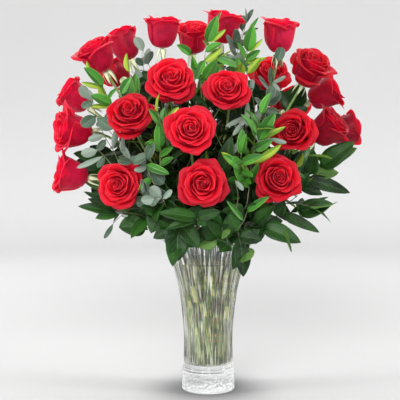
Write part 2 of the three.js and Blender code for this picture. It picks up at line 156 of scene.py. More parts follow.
# Sprays that the photograph shows, by branch: how far each one is behind the vase's axis, the pixels that its
# twig passes from the outer end inwards, and its leaves as root pixel, tip pixel, width in mm and 1 where the
# upper side shows.
shownSprays = {
    "ruscus_top": [
        (-75, [(207, 42), (205, 55), (203, 70), (201, 90)], [
            (207, 41, 217, 16, 21, 1), (208, 41, 226, 30, 11, 0), (206, 51, 221, 43, 14, 1),
            (204, 63, 221, 48, 15, 0), (204, 60, 196, 80, 15, 1), (203, 80, 190, 66, 14, 1),
            (202, 84, 212, 70, 14, 1),
        ]),
        (-85, [(217, 58), (209, 68), (204, 84)], [
            (217, 58, 238, 67, 16, 1), (212, 64, 222, 78, 14, 1), (211, 82, 217, 60, 22, 1),
        ]),
        (-70, [(191, 55), (194, 66), (199, 78), (203, 92)], [
            (191, 55, 177, 44, 15, 1), (197, 76, 192, 56, 13, 1),
        ]),
        (-50, [(248, 50), (246, 60), (247, 72), (246, 92)], [
            (247, 51, 254, 25, 22, 1), (248, 51, 263, 39, 10, 0), (246, 60, 261, 51, 14, 1),
            (246, 63, 267, 58, 10, 0), (247, 73, 261, 58, 14, 0), (247, 72, 238, 58, 12, 1),
        ]),
    ],
    "ruscus_left": [
        (-75, [(103, 87), (107, 97), (112, 106), (120, 122)], [
            (103, 87, 84, 67, 21, 1), (102, 88, 81, 83, 10, 0), (112, 105, 90, 96, 20, 1),
            (113, 106, 89, 105, 9, 0), (108, 99, 117, 88, 10, 1),
        ]),
        (-100, [(121, 94), (125, 104), (130, 120)], [
            (121, 94, 131, 77, 16, 1), (146, 104, 127, 95, 10, 0), (128, 112, 130, 79, 20, 1),
        ]),
        (-150, [(162, 124), (161, 140), (160, 157), (162, 178)], [
            (163, 124, 178, 106, 17, 0), (162, 148, 159, 121, 18, 1), (161, 156, 173, 147, 13, 1),
            (160, 150, 147, 141, 12, 1), (161, 165, 174, 158, 12, 1),
        ]),
        (-165, [(146, 165), (152, 180), (160, 192)], [
            (145, 165, 169, 175, 15, 1), (150, 178, 138, 190, 12, 1),
        ]),
    ],
    "ruscus_right": [
        (-150, [(259, 139), (255, 149), (251, 166), (249, 188), (246, 206)], [
            (258, 140, 275, 112, 22, 1), (260, 139, 285, 125, 10, 0), (255, 151, 273, 140, 17, 1),
            (253, 163, 282, 146, 14, 0), (249, 173, 221, 152, 17, 0), (249, 188, 233, 160, 19, 1),
            (250, 180, 258, 163, 12, 1),
        ]),
        (-185, [(247, 212), (243, 222), (236, 230)], [
            (247, 212, 269, 196, 13, 1), (238, 218, 226, 201, 9, 1),
        ]),
    ],
    "eucalyptus_left": [
        (-80, [(93, 101), (97, 118), (104, 135), (114, 152), (124, 172)], [
            (93, 102, 82, 108, 18, 1), (96, 117, 82, 127, 24, 1), (98, 117, 112, 130, 26, 1),
            (93, 101, 86, 90, 14, 0), (104, 134, 88, 140, 14, 0), (113, 151, 117, 127, 12, 0),
            (106, 139, 97, 150, 14, 1),
        ]),
        (-110, [(98, 150), (106, 158), (118, 172)], [
            (98, 150, 81, 154, 20, 0), (96, 164, 77, 169, 11, 0), (104, 157, 98, 168, 12, 1),
        ]),
        (-130, [(122, 144), (131, 161), (140, 176), (150, 190)], [
            (131, 161, 120, 143, 12, 0), (133, 164, 122, 170, 14, 1), (140, 165, 147, 183, 20, 1),
        ]),
        (-150, [(153, 144), (146, 161), (150, 176)], [
            (146, 161, 153, 142, 22, 1), (148, 168, 164, 184, 26, 1), (147, 164, 136, 172, 16, 0),
        ]),
        (-170, [(151, 187), (160, 195), (166, 206)], [
            (168, 194, 150, 187, 20, 0), (158, 201, 141, 201, 21, 0), (163, 200, 172, 190, 12, 0),
        ]),
        (-140, [(118, 206), (124, 212), (136, 214)], [(126, 206, 117, 213, 13, 0)]),
        (-130, [(112, 225), (122, 215), (136, 208)], [
            (113, 223, 105, 239, 9, 1), (121, 216, 128, 216, 5, 0),
        ]),
    ],
    "eucalyptus_top": [
        (40, [(226, 66), (222, 80), (214, 96)], [
            (226, 66, 208, 74, 26, 1), (226, 68, 240, 72, 26, 1), (222, 80, 206, 84, 26, 1),
            (222, 78, 238, 84, 24, 1),
        ]),
        (30, [(142, 52), (143, 66), (148, 84), (152, 100)], [
            (143, 66, 149, 48, 13, 0), (149, 84, 134, 72, 18, 0), (144, 66, 136, 58, 13, 1),
        ]),
        (0, [(243, 29), (238, 50), (233, 68), (228, 84)], [
            (243, 31, 243, 15, 16, 1), (238, 50, 235, 29, 20, 1), (233, 67, 244, 52, 20, 0),
            (231, 52, 227, 34, 10, 0), (236, 56, 226, 58, 13, 0),
        ]),
        (-10, [(276, 53), (274, 66), (270, 86), (266, 104)], [(276, 52, 277, 67, 17, 1)]),
    ],
    "eucalyptus_right": [
        (0, [(270, 70), (271, 84), (266, 104), (258, 122)], [
            (270, 86, 270, 67, 12, 1), (271, 84, 286, 76, 9, 0), (266, 90, 259, 75, 8, 0),
            (272, 83, 280, 92, 11, 0),
        ]),
        (-40, [(252, 80), (252, 94), (254, 112)], [(251, 93, 252, 79, 10, 0)]),
        (-60, [(264, 104), (260, 116), (256, 130)], [
            (263, 106, 281, 92, 27, 1), (264, 108, 253, 122, 14, 0), (262, 110, 278, 112, 14, 1),
        ]),
        (-110, [(248, 100), (246, 118), (240, 138), (238, 160)], [
            (248, 100, 246, 126, 10, 0), (228, 112, 226, 127, 10, 0), (236, 112, 241, 126, 12, 0),
            (233, 137, 245, 148, 9, 0), (224, 139, 233, 153, 10, 0), (240, 118, 232, 135, 9, 0),
        ]),
        (-140, [(269, 138), (262, 146), (250, 158)], [
            (269, 138, 286, 144, 9, 0), (263, 144, 256, 134, 9, 0), (266, 140, 272, 121, 12, 0),
        ]),
        (-165, [(235, 180), (238, 196), (236, 212)], [(234, 179, 244, 190, 9, 0)]),
    ],
    "salal_front_left": [
        (-190, [(197, 218), (199, 228)], [
            (197, 218, 158, 213, 22, 1), (197, 218, 166, 230, 15, 1), (198, 218, 221, 211, 18, 1),
            (199, 220, 206, 226, 13, 1),
        ]),
        (-120, [(196, 222), (198, 236)], [
            (196, 224, 180, 212, 28, 1), (196, 222, 206, 204, 26, 1), (198, 234, 186, 246, 26, 1),
            (197, 230, 212, 238, 26, 1),
        ]),
        (-165, [(178, 222), (184, 232)], [
            (178, 222, 176, 262, 42, 1), (180, 224, 153, 238, 27, 1), (182, 224, 200, 247, 30, 1),
        ]),
        (-120, [(118, 212), (132, 216), (148, 224)], [
            (118, 209, 78, 206, 19, 1), (118, 213, 95, 218, 18, 1), (128, 214, 119, 198, 18, 0),
            (114, 207, 88, 197, 16, 1), (147, 222, 119, 229, 38, 1), (127, 209, 148, 230, 20, 1),
        ]),
        (-150, [(160, 210), (166, 224)], [
            (160, 210, 150, 233, 28, 1), (162, 212, 140, 207, 22, 1), (166, 208, 176, 196, 20, 1),
        ]),
    ],
    "salal_front_right": [
        (-160, [(228, 246), (226, 236), (222, 228)], [
            (201, 244, 229, 234, 23, 0), (239, 243, 220, 252, 23, 1),
        ]),
        (-140, [(216, 228), (218, 238), (214, 244)], [
            (218, 238, 204, 220, 30, 1), (218, 236, 236, 222, 28, 1), (216, 228, 212, 206, 26, 1),
            (220, 240, 232, 250, 20, 1), (216, 240, 198, 248, 20, 0),
        ]),
        (-115, [(226, 214), (226, 228), (222, 240)], [
            (226, 228, 214, 210, 30, 1), (226, 226, 244, 214, 28, 1), (226, 214, 232, 198, 24, 1),
            (224, 236, 206, 232, 28, 1), (224, 238, 246, 232, 26, 1),
        ]),
        (-165, [(241, 246), (238, 232)], [
            (241, 244, 243, 277, 26, 1), (240, 236, 262, 240, 24, 1), (238, 230, 228, 214, 18, 1),
        ]),
        (-130, [(263, 226), (248, 222)], [
            (262, 225, 301, 243, 29, 1), (262, 222, 255, 244, 24, 1), (256, 222, 275, 206, 22, 1),
        ]),
        (-90, [(284, 214), (270, 218)], [
            (283, 213, 319, 234, 18, 1), (284, 213, 300, 226, 14, 1), (276, 214, 284, 200, 18, 1),
        ]),
        (-60, [(298, 212), (282, 214)], [(298, 213, 333, 205, 31, 1), (290, 204, 329, 198, 11, 1)]),
    ],
    "salal_back_right": [
        (40, [(294, 104), (288, 124), (280, 146)], [
            (294, 106, 300, 82, 36, 1), (292, 108, 280, 90, 28, 1), (290, 118, 308, 108, 30, 1),
            (286, 128, 270, 116, 28, 1),
        ]),
        (20, [(256, 96), (254, 116), (250, 140)], [
            (256, 98, 246, 80, 26, 1), (256, 100, 270, 92, 26, 1), (254, 118, 240, 106, 28, 1),
            (252, 126, 264, 116, 26, 1), (254, 112, 242, 128, 30, 1), (252, 132, 236, 124, 28, 1),
            (255, 106, 250, 92, 24, 1), (253, 122, 246, 138, 28, 1),
        ]),
        (0, [(320, 167), (306, 178), (292, 194)], [
            (320, 167, 355, 143, 34, 1), (313, 171, 339, 172, 23, 0), (304, 177, 350, 194, 24, 1),
            (309, 176, 314, 150, 26, 1), (300, 186, 322, 196, 20, 1), (302, 182, 297, 164, 24, 1),
            (298, 188, 308, 172, 22, 1),
        ]),
    ],
    "salal_back_left": [
        (50, [(112, 160), (118, 172), (128, 186)], [
            (112, 162, 90, 146, 28, 1), (112, 164, 76, 160, 26, 1), (118, 172, 92, 172, 28, 1),
            (120, 174, 104, 190, 28, 1), (116, 166, 122, 144, 26, 1),
        ]),
        (-10, [(98, 158), (106, 168), (122, 184)], [
            (98, 160, 73, 155, 22, 1), (100, 162, 80, 170, 24, 1), (98, 158, 90, 146, 20, 1),
            (106, 168, 84, 178, 24, 1), (106, 166, 116, 150, 24, 1),
        ]),
        (30, [(138, 146), (140, 160), (142, 180)], [
            (138, 148, 118, 134, 30, 1), (138, 146, 152, 126, 28, 1), (140, 160, 122, 152, 28, 1),
            (140, 160, 158, 152, 28, 1), (142, 176, 128, 168, 26, 1),
        ]),
        (20, [(138, 92), (140, 108), (142, 128)], [
            (140, 106, 118, 96, 26, 1), (140, 108, 154, 90, 28, 1), (138, 94, 146, 76, 24, 1),
        ]),
        (10, [(98, 176), (112, 186), (126, 196)], [
            (98, 176, 84, 160, 24, 1), (104, 180, 92, 196, 22, 1), (112, 184, 118, 166, 24, 1),
        ]),
    ],
}

# In the photograph's pixels: the bouquet's lower edge, and the gaps where the wall shows through, each
# with its radius.
lowEdge = [
    (40, 150), (58, 196), (78, 207), (100, 221), (120, 230), (132, 235), (148, 230), (160, 240), (168, 254),
    (177, 262), (188, 247), (215, 246), (236, 247), (243, 274), (250, 252), (258, 240), (280, 236),
    (300, 240), (318, 232), (333, 208), (352, 192), (358, 140),
]
gapsShown = [
    (200, 56, 4), (240, 32, 4), (256, 47, 4), (262, 52, 4), (108, 85, 5), (95, 108, 4), (103, 112, 4),
    (110, 140, 9), (276, 110, 4), (303, 190, 6), (318, 186, 7), (278, 204, 4), (277, 227, 4), (290, 226, 4),
    (312, 219, 6), (234, 237, 3),
]

# the foot and the body as radius and height
vaseShape = {
    "flutes": 24,
    "fluteDepth": 2.9,
    "wall": 4,
    "floor": 52,
    "floorRound": 4,
    "innerFoot": 43.9,
    "foot": [(48.5, 0), (51.5, 3.5), (51.5, 43)],
    "beads": [
        (51.3, 40.2), (50.3, 41.2), (49.6, 42.2), (50.0, 43.4), (50.2, 45), (49.2, 46.6), (48.4, 47.6),
        (48.8, 49), (48.2, 50.6),
    ],
    "chips": {"around": 7.2, "up": 0.14, "depth": 1.3, "least": 0.15},
    "body": [(47.9, 50), (47.7, 112), (54.4, 182), (63.5, 225), (74.5, 260), (88.5, 290)],
    "waterLevel": 251,
    "waterOverlap": 0.1,
}
waterSurface = vaseShape["waterLevel"] * millimetre


def vec(*values):
    return np.array(values, float)


def unit(v):
    return v / max(np.linalg.norm(v), 1e-9)


# the solids' fixed draw, from -1 to 1
def draw(key):
    s = math.sin(key * 12.9898) * 43758.5453
    return 2 * (s - math.floor(s)) - 1


# a direction from its angle about the axis, 0 at the front, and its angle upwards
def aimed(a, e):
    return vec(math.sin(a) * math.cos(e), -math.cos(a) * math.cos(e), math.sin(e))


def facing(azimuth, elevation):
    return aimed(math.radians(azimuth), math.radians(elevation))


def turnAbout(v, axis, angle):
    c, s = math.cos(angle), math.sin(angle)
    return v * c + np.cross(axis, v) * s + axis * np.dot(axis, v) * (1 - c)


# the turn that carries +Z to a direction, as columns
def standing(direction):
    return np.array(Vector((0, 0, 1)).rotation_difference(Vector(direction)).to_matrix())


def bloomHeight(width, openness):
    return width * (0.84 - 0.2 * openness)


def seatOf(rose):
    x, y, z, azimuth, elevation, width, openness = rose
    way = facing(azimuth, elevation)
    return way, vec(x, y, z) - way * bloomHeight(width, openness) / 2


# where the stems pass the neck: towards what each one carries, and pushed apart until none touch
def spreadInNeck(targets):
    places = []
    for x, y, z in targets:
        reach = (neck["z"] - neck["focus"]) / (z - neck["focus"])
        across = math.hypot(x, y)
        held = neck["radius"] * (1 - math.exp((-across * reach) / neck["radius"]))
        places.append([(x * held) / across, (y * held) / across])
    for _ in range(neck["passes"]):
        for i in range(len(places)):
            for j in range(i + 1, len(places)):
                dx = places[j][0] - places[i][0]
                dy = places[j][1] - places[i][1]
                apart = math.hypot(dx, dy)
                if apart >= neck["gap"]:
                    continue
                push = (neck["gap"] - apart) / 2 / apart
                places[i] = [places[i][0] - dx * push, places[i][1] - dy * push]
                places[j] = [places[j][0] + dx * push, places[j][1] + dy * push]
        for place in places:
            over = math.hypot(*place) / neck["radius"]
            if over > 1:
                place[0] /= over
                place[1] /= over
    return places


# a stem's foot and its place in the neck
def standAt(x, y):
    a = math.radians(feet["twist"])
    foot = vec(x * math.cos(a) - y * math.sin(a), x * math.sin(a) + y * math.cos(a), 0) * feet["share"]
    foot[2] = feet["z"]
    return foot, vec(x, y, neck["z"])


aboveNeck = [rose[:3] for rose in roseTable] + [branch[0] for branch in branchTable.values()]
stands = [standAt(x, y) for x, y in spreadInNeck(aboveNeck)]


# curves

def bezier(controls, t):
    p0, p1, p2, p3 = controls
    t = np.asarray(t, float)[..., None]
    return (1 - t) ** 3 * p0 + 3 * (1 - t) ** 2 * t * p1 + 3 * (1 - t) * t**2 * p2 + t**3 * p3


def heading(controls, t):
    low, high = max(t - 1e-4, 0), min(t + 1e-4, 1)
    return unit(bezier(controls, high) - bezier(controls, low))


# share of its length for which a bend keeps to the way that it leaves in
bendReach = 0.35


def bendBetween(start, out, end, into, reach, bow):
    leave = np.linalg.norm(end - start) * bendReach
    return start, start + out * leave + bow, end - into * reach + bow, end


# share of the length -> share of the curve, in as many steps as the solids do it
class ArcTable:
    steps = 200

    def __init__(self, controls):
        self.shares = np.linspace(0, 1, self.steps + 1)
        pieces = np.linalg.norm(np.diff(bezier(controls, self.shares), axis=0), axis=1)
        self.along = np.concatenate([[0], np.cumsum(pieces)])
        self.length = self.along[-1]

    def at(self, share):
        return float(np.interp(share * self.length, self.along, self.shares))


def cameraAxes():
    ahead = unit(vec(*camera["target"]) - vec(*camera["place"]))
    right = unit(np.cross(ahead, vec(0, 0, 1)))
    return ahead, right, np.cross(right, ahead)


eye = vec(*camera["place"])
lookAhead, lookRight, lookUp = cameraAxes()
middlePixel = camera["pixels"] / 2


# a place at the given depth that the camera sees at a pixel
def seen(x, y, depth):
    aside, below = x - middlePixel, y - middlePixel
    ray = lookAhead + lookRight * aside / camera["reach"] - lookUp * below / camera["reach"]
    return eye + ray * (depth - eye[1]) / ray[1]


# the pixels at which the camera sees places
def pixelsOf(places):
    away = places - eye
    scale = camera["reach"] / (away @ lookAhead)
    return middlePixel + away @ lookRight * scale, middlePixel - away @ lookUp * scale


# an even curve through points, with so many steps from each to the next
def evenCurve(points, steps):
    points = np.array(points, float)
    padded = np.concatenate([[2 * points[0] - points[1]], points, [2 * points[-1] - points[-2]]])
    rows = []
    for k in range(len(points) - 1):
        a, b, c, d = padded[k:k + 4]
        for t in np.linspace(0, 1, steps, endpoint=False):
            place = 2 * b + (c - a) * t
            place = place + (2 * a - 5 * b + 4 * c - d) * t**2 + (3 * b - a - 3 * c + d) * t**3
            rows.append(0.5 * place)
    rows.append(points[-1])
    return rows


# the vertices of a solid, to find which of its possible ways each stem and leaf took
def cornersOf(node):
    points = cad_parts[node].data.vertices
    tree = kdtree.KDTree(len(points))
    for i, point in enumerate(points):
        tree.insert(point.co / millimetre, i)
    tree.balance()
    return tree


# the ways that the solids try, in their order: how far and where to a bend is bowed, and how a leaf is swung
bows = [vec(0, 0, 0)]
for bowReach in (12, 24, 36, 50):
    for bowTurn in range(0, 360, 45):
        bows.append(vec(math.cos(math.radians(bowTurn)), math.sin(math.radians(bowTurn)), 0) * bowReach)
swings = [(turn, tilt) for turn in (0, 28, -28, 56, -56, 90, -90, 130, -130) for tilt in (0, -18, 18)]
solidSlack, tipSlack = 0.03, 0.05


# the bend that the solid took: its corners stand on the skin of a tube along it at the given shares
def foundBend(what, makeBend, rings, radius, corners):
    for bow in bows:
        controls = makeBend(bow)
        for t in rings:
            near = corners.find_range(Vector(bezier(controls, t)), radius + solidSlack)
            if any(distance > radius - solidSlack for _, _, distance in near):
                return controls
    print("no bend found for", what)
    return makeBend(bows[0])


# from the foot straight up to the neck, then along the bend
def stemPath(foot, top, bend, steps):
    low = foot + (top - foot) * np.linspace(0, 0.96, 8)[:, None]
    return np.concatenate([low, bezier(bend, np.linspace(0, 1, steps))])


# meshes

# a closed thin blade about its middle surface, thinner at its rim
def shellOf(grid, thickness, rim):
    rows, columns = grid.shape[:2]
    normal = np.cross(np.gradient(grid, axis=1), np.gradient(grid, axis=0))
    normal[0], normal[-1] = normal[1], normal[-2]
    normal /= np.maximum(np.linalg.norm(normal, axis=2, keepdims=True), 1e-9)
    half = np.full((rows, columns, 1), thickness / 2)
    half[[0, -1]] *= rim
    half[:, [0, -1]] *= rim
    places = np.concatenate([(grid + normal * half).reshape(-1, 3), (grid - normal * half).reshape(-1, 3)])
    i, j = np.meshgrid(np.arange(rows - 1), np.arange(columns - 1), indexing="ij")
    a = (i * columns + j).ravel()
    below = rows * columns
    top = np.stack([a, a + 1, a + columns + 1, a + columns], 1)
    under = top[:, ::-1] + below
    edge = np.concatenate([
        np.arange(columns - 1),
        np.arange(rows - 1) * columns + columns - 1,
        (rows - 1) * columns + np.arange(columns - 1, 0, -1),
        np.arange(rows - 1, 0, -1) * columns,
    ])
    ahead = np.roll(edge, -1)
    sides = np.stack([edge, edge + below, ahead + below, ahead], 1)
    upper = np.concatenate([np.ones(below), np.zeros(below)])
    return places, np.concatenate([top, under, sides]).tolist(), upper


# faces between rings of places, one ring after the other, then those that close both ends
def ringFaces(rows, sides):
    i, j = np.meshgrid(np.arange(rows - 1), np.arange(sides), indexing="ij")
    a, b = (i * sides + j).ravel(), (i * sides + (j + 1) % sides).ravel()
    return np.stack([a, b, b + sides, a + sides], 1).tolist()


def capFaces(rows, sides):
    return [list(range(sides))[::-1], [(rows - 1) * sides + k for k in range(sides)]]


def turnedRings(profile, sides):
    angles = np.linspace(0, 2 * math.pi, sides, endpoint=False)
    rings = [np.stack([r * np.cos(angles), r * np.sin(angles), np.full(sides, z)], 1) for r, z in profile]
    return np.concatenate(rings), ringFaces(len(profile), sides)


def tubeOf(path, radii, sides):
    path = np.asarray(path, float)
    tangents = np.gradient(path, axis=0)
    tangents /= np.linalg.norm(tangents, axis=1, keepdims=True)
    side = unit(np.cross(tangents[0], vec(0.3, 0.9, 0.1)))
    rings = []
    angles = np.linspace(0, 2 * math.pi, sides, endpoint=False)
    for place, tangent, radius in zip(path, tangents, radii):
        side = unit(side - tangent * np.dot(side, tangent))
        other = np.cross(tangent, side)
        rings.append(place + radius * (np.cos(angles)[:, None] * side + np.sin(angles)[:, None] * other))
    rows = len(path)
    faces = ringFaces(rows, sides)
    first, last = rows * sides, rows * sides + 1
    top = (rows - 1) * sides
    for k in range(sides):
        faces.append([first, (k + 1) % sides, k])
        faces.append([last, top + k, top + (k + 1) % sides])
    return np.concatenate(rings + [path[:1], path[-1:]]), faces


# gathers shells and tubes, with their shading attributes, into one object
class Builder:
    def __init__(self):
        self.places, self.faces, self.finishes = [], [], []
        self.values = {"across": [], "along": [], "tint": [], "upper": [], "depth": [], "deep": []}
        self.count = 0

    def add(self, places, faces, finish=0, **values):
        self.places.append(places)
        self.faces += [[corner + self.count for corner in face] for face in faces]
        self.finishes += [finish] * len(faces)
        for name, held in self.values.items():
            held.append(np.broadcast_to(np.asarray(values.get(name, 0.5), float), (len(places),)))
        self.count += len(places)

    def blade(self, grid, thickness, finish=0, rim=0.5, **values):
        rows, columns = grid.shape[:2]
        places, faces, upper = shellOf(grid, thickness, rim)
        along, across = np.meshgrid(np.linspace(0, 1, rows), np.linspace(-1, 1, columns), indexing="ij")
        self.add(
            places, faces, finish,
            across=np.tile(across.ravel(), 2), along=np.tile(along.ravel(), 2), upper=upper, **values,
        )

    # a stem or twig whose radius goes from one share of the given one to another
    def stalk(self, path, radius, first, last, sides, rng):
        places, faces = tubeOf(path, radius * np.linspace(first, last, len(path)), sides)
        self.add(places, faces, tint=rng.uniform(0, 1))

    def make(self, name, finishes, slot, *nodes):
        mesh = bpy.data.meshes.new(name)
        mesh.from_pydata((np.concatenate(self.places) * millimetre).tolist(), [], self.faces)
        for key, held in self.values.items():
            mesh.attributes.new(key, "FLOAT", "POINT").data.foreach_set("value", np.concatenate(held))
        mesh.polygons.foreach_set("use_smooth", [True] * len(self.faces))
        mesh.polygons.foreach_set("material_index", self.finishes)
        for finish in finishes:
            mesh.materials.append(finish)
        mesh.update()
        piece = bpy.data.objects.new(name, mesh)
        bpy.context.scene.collection.objects.link(piece)
        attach(piece, "root")
        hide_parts(*nodes)


# materials

class Nodes:
    def __init__(self, tree):
        self.tree = tree

    def add(self, kind, settings=None, **inputs):
        node = self.tree.nodes.new("ShaderNode" + kind)
        for key, value in (settings or {}).items():
            setattr(node, key, value)
        for key, value in inputs.items():
            self.put(node.inputs[key.replace("_", " ")], value)
        return node

    def put(self, socket, value):
        if hasattr(value, "is_output"):
            self.tree.links.new(value, socket)
        elif hasattr(value, "outputs"):
            self.tree.links.new(value.outputs[0], socket)
        else:
            socket.default_value = (*value, 1) if socket.type == "RGBA" else value

    def math(self, operation, *values):
        node = self.tree.nodes.new("ShaderNodeMath")
        node.operation = operation
        for socket, value in zip(node.inputs, values):
            self.put(socket, value)
        return node.outputs[0]

    def times(self, a, b):
        return self.math("MULTIPLY", a, b)

    def mix(self, factor, a, b, blend="MIX"):
        node = self.tree.nodes.new("ShaderNodeMix")
        node.data_type = "RGBA"
        node.blend_type = blend
        self.put(node.inputs[0], factor)
        self.put(node.inputs[6], a)
        self.put(node.inputs[7], b)
        return node.outputs[2]

    def span(self, value, low, high, toLow=0.0, toHigh=1.0):
        node = self.tree.nodes.new("ShaderNodeMapRange")
        node.interpolation_type = "SMOOTHSTEP"
        for socket, given in zip(node.inputs, (value, low, high, toLow, toHigh)):
            self.put(socket, given)
        return node.outputs[0]

    # the shading attributes that a Builder wrote
    def held(self, *names):
        return [self.add("Attribute", {"attribute_name": name}).outputs["Fac"] for name in names]

    # the place in the shared frame, in metres
    def here(self):
        return self.add("TexCoord").outputs["Object"]

    def parts(self, place):
        return self.add("SeparateXYZ", Vector=place).outputs

    def mottle(self, scale, detail=3.0, roughness=0.55, place=None):
        place = self.here() if place is None else place
        cloud = self.add("TexNoise", Vector=place, Scale=scale, Detail=detail, Roughness=roughness)
        return cloud.outputs["Fac"]

    def group(self, tree, **inputs):
        node = self.tree.nodes.new("ShaderNodeGroup")
        node.node_tree = tree
        for key, value in inputs.items():
            self.put(node.inputs[key.replace("_", " ")], value)
        return node.outputs

    def finish(self, shader):
        self.put(self.tree.nodes.new("ShaderNodeOutputMaterial").inputs["Surface"], shader)


def newMaterial(name):
    material = bpy.data.materials.new(name)
    material.use_nodes = True
    material.node_tree.nodes.clear()
    return material, Nodes(material.node_tree)


# an effect that materials share: its inputs with what each is at first, and the kinds of its outputs
def newGroup(name, inputs, outputs):
    tree = bpy.data.node_groups.new(name, "ShaderNodeTree")
    for label, first in inputs.items():
        isColour = isinstance(first, tuple)
        kind = "NodeSocketColor" if isColour else "NodeSocketFloat"
        socket = tree.interface.new_socket(label, in_out="INPUT", socket_type=kind)
        socket.default_value = (*first, 1) if isColour else first
    for label, kind in outputs.items():
        tree.interface.new_socket(label, in_out="OUTPUT", socket_type="NodeSocket" + kind)
    given, out = tree.nodes.new("NodeGroupInput"), tree.nodes.new("NodeGroupOutput")
    return Nodes(tree), given.outputs, out.inputs


# side veins that sweep forward from the midrib, as a mask and a height
def veinGroup():
    n, given, out = newGroup(
        "leafVeins", {"Across": 0, "Along": 0, "Veins": 8, "Sweep": 2.5, "Rib Width": 0.07},
        {"Mask": "Float", "Height": "Float"},
    )
    aside = n.math("ABSOLUTE", given["Across"])
    rib = n.span(aside, 0.0, given["Rib Width"], 1, 0)
    swept = n.math("SUBTRACT", n.times(given["Along"], given["Veins"]), n.times(aside, given["Sweep"]))
    wave = n.math("ABSOLUTE", n.math("SUBTRACT", n.math("FRACT", swept), 0.5))
    side = n.times(n.span(wave, 0.0, 0.12, 1, 0), n.span(aside, 0.95, 0.4, 0, 0.6))
    mask = n.math("MAXIMUM", rib, side)
    n.put(out["Mask"], mask)
    n.put(out["Height"], n.math("MULTIPLY_ADD", mask, -1.0, n.times(wave, 0.5)))
    return n.tree


# a base colour that drifts between two tones in soft patches and from piece to piece
def driftGroup():
    n, given, out = newGroup(
        "toneDrift",
        {"Tone": (0.5, 0.5, 0.5), "Other Tone": (0.4, 0.4, 0.4), "Scale": 30, "Tint": 0.5, "Tint Share": 0.6},
        {"Color": "Color", "Patch": "Float"},
    )
    patch = n.span(n.mottle(given["Scale"]), 0.35, 0.68)
    rest = n.math("SUBTRACT", 1.0, given["Tint Share"])
    share = n.math("ADD", n.times(given["Tint"], given["Tint Share"]), n.times(patch, rest))
    n.put(out["Color"], n.mix(share, given["Tone"], given["Other Tone"]))
    n.put(out["Patch"], patch)
    return n.tree


leafVeins = veinGroup()
toneDrift = driftGroup()


def drifting(n, tone, other, scale, tint, share):
    return n.group(toneDrift, Tone=tone, Other_Tone=other, Scale=scale, Tint=tint, Tint_Share=share)


# an open rose's faces are brighter than a closed one's; the rim is a painted highlight along the petals'
# edges, and the glow is painted light, an emission that lifts the shade in the creases
petalFinishes = {
    "open": {
        "inside": (0.64, 0.005, 0.017), "insideOther": (0.50, 0.003, 0.013),
        "outside": (0.49, 0.005, 0.025), "outsideOther": (0.32, 0.002, 0.016),
        "centre": (0.42, 0.002, 0.009), "rim": (0.78, 0.10, 0.14), "rimHighlightShare": 0.5,
        "scorchShare": 0.7, "glow": 0.10,
    },
    "closed": {
        "inside": (0.62, 0.005, 0.026), "insideOther": (0.42, 0.003, 0.016),
        "outside": (0.62, 0.007, 0.040), "outsideOther": (0.34, 0.002, 0.018),
        "centre": (0.40, 0.002, 0.010), "rim": (0.60, 0.06, 0.09), "rimHighlightShare": 0.3,
        "scorchShare": 0.95, "glow": 0.15,
    },
}
# the dried edge that some petals have, and what darkens the darker roses, partly their own deeper red and
# partly painted shade
scorchRed = (0.05, 0.002, 0.004)
deepShade = (0.42, 0.30, 0.36)


def petalMaterial(kind):
    look = petalFinishes[kind]
    material, n = newMaterial(kind + "Petals")
    across, along, tint, upper, depth, deep = n.held("across", "along", "tint", "upper", "depth", "deep")
    inside = drifting(n, look["inside"], look["insideOther"], 70.0, tint, 0.6)
    outside = drifting(n, look["outside"], look["outsideOther"], 60.0, tint, 0.5)
    # painted shade: the petals darken towards the bloom's centre
    face = n.mix(n.span(depth, 0.5, 0.95, 0, 0.35), inside["Color"], look["centre"])
    colour = n.mix(upper, outside["Color"], face)
    # a painted highlight along the petals' edges, stronger on the inner petals
    aside = n.math("ABSOLUTE", across)
    edge = n.math("MAXIMUM", n.span(along, 0.95, 1.0), n.span(aside, 0.94, 1.0))
    colour = n.mix(n.times(edge, n.span(depth, 0.2, 0.8, 0.15, look["rimHighlightShare"])), colour, look["rim"])
    scorch = n.times(n.span(along, 0.965, 1.0), n.span(n.mottle(45.0), 0.6, 0.72))
    colour = n.mix(n.times(scorch, look["scorchShare"]), colour, scorchRed)
    # the darker roses: partly their own deeper red, partly painted shade where less light falls on them
    colour = n.mix(deep, colour, deepShade, "MULTIPLY")
    # fine ribs that fan up the petal
    fan = n.math("SINE", n.times(across, 42.0))
    height = n.math("ADD", n.times(fan, 0.35), n.mottle(900.0, 2.0))
    bump = n.add("Bump", Strength=0.12, Distance=0.0006, Height=height)
    # painted light: the petals glow faintly with their own colour
    shader = n.add(
        "BsdfPrincipled", Base_Color=colour, Roughness=0.5, Specular_IOR_Level=0.12,
        Sheen_Weight=0.05, Sheen_Roughness=0.4, Sheen_Tint=(1.0, 0.3, 0.4), Normal=bump,
        Subsurface_Weight=0.7, Subsurface_Radius=(1.0, 0.12, 0.16), Subsurface_Scale=0.012,
        Emission_Color=colour, Emission_Strength=look["glow"],
    )
    n.finish(shader)
    return material


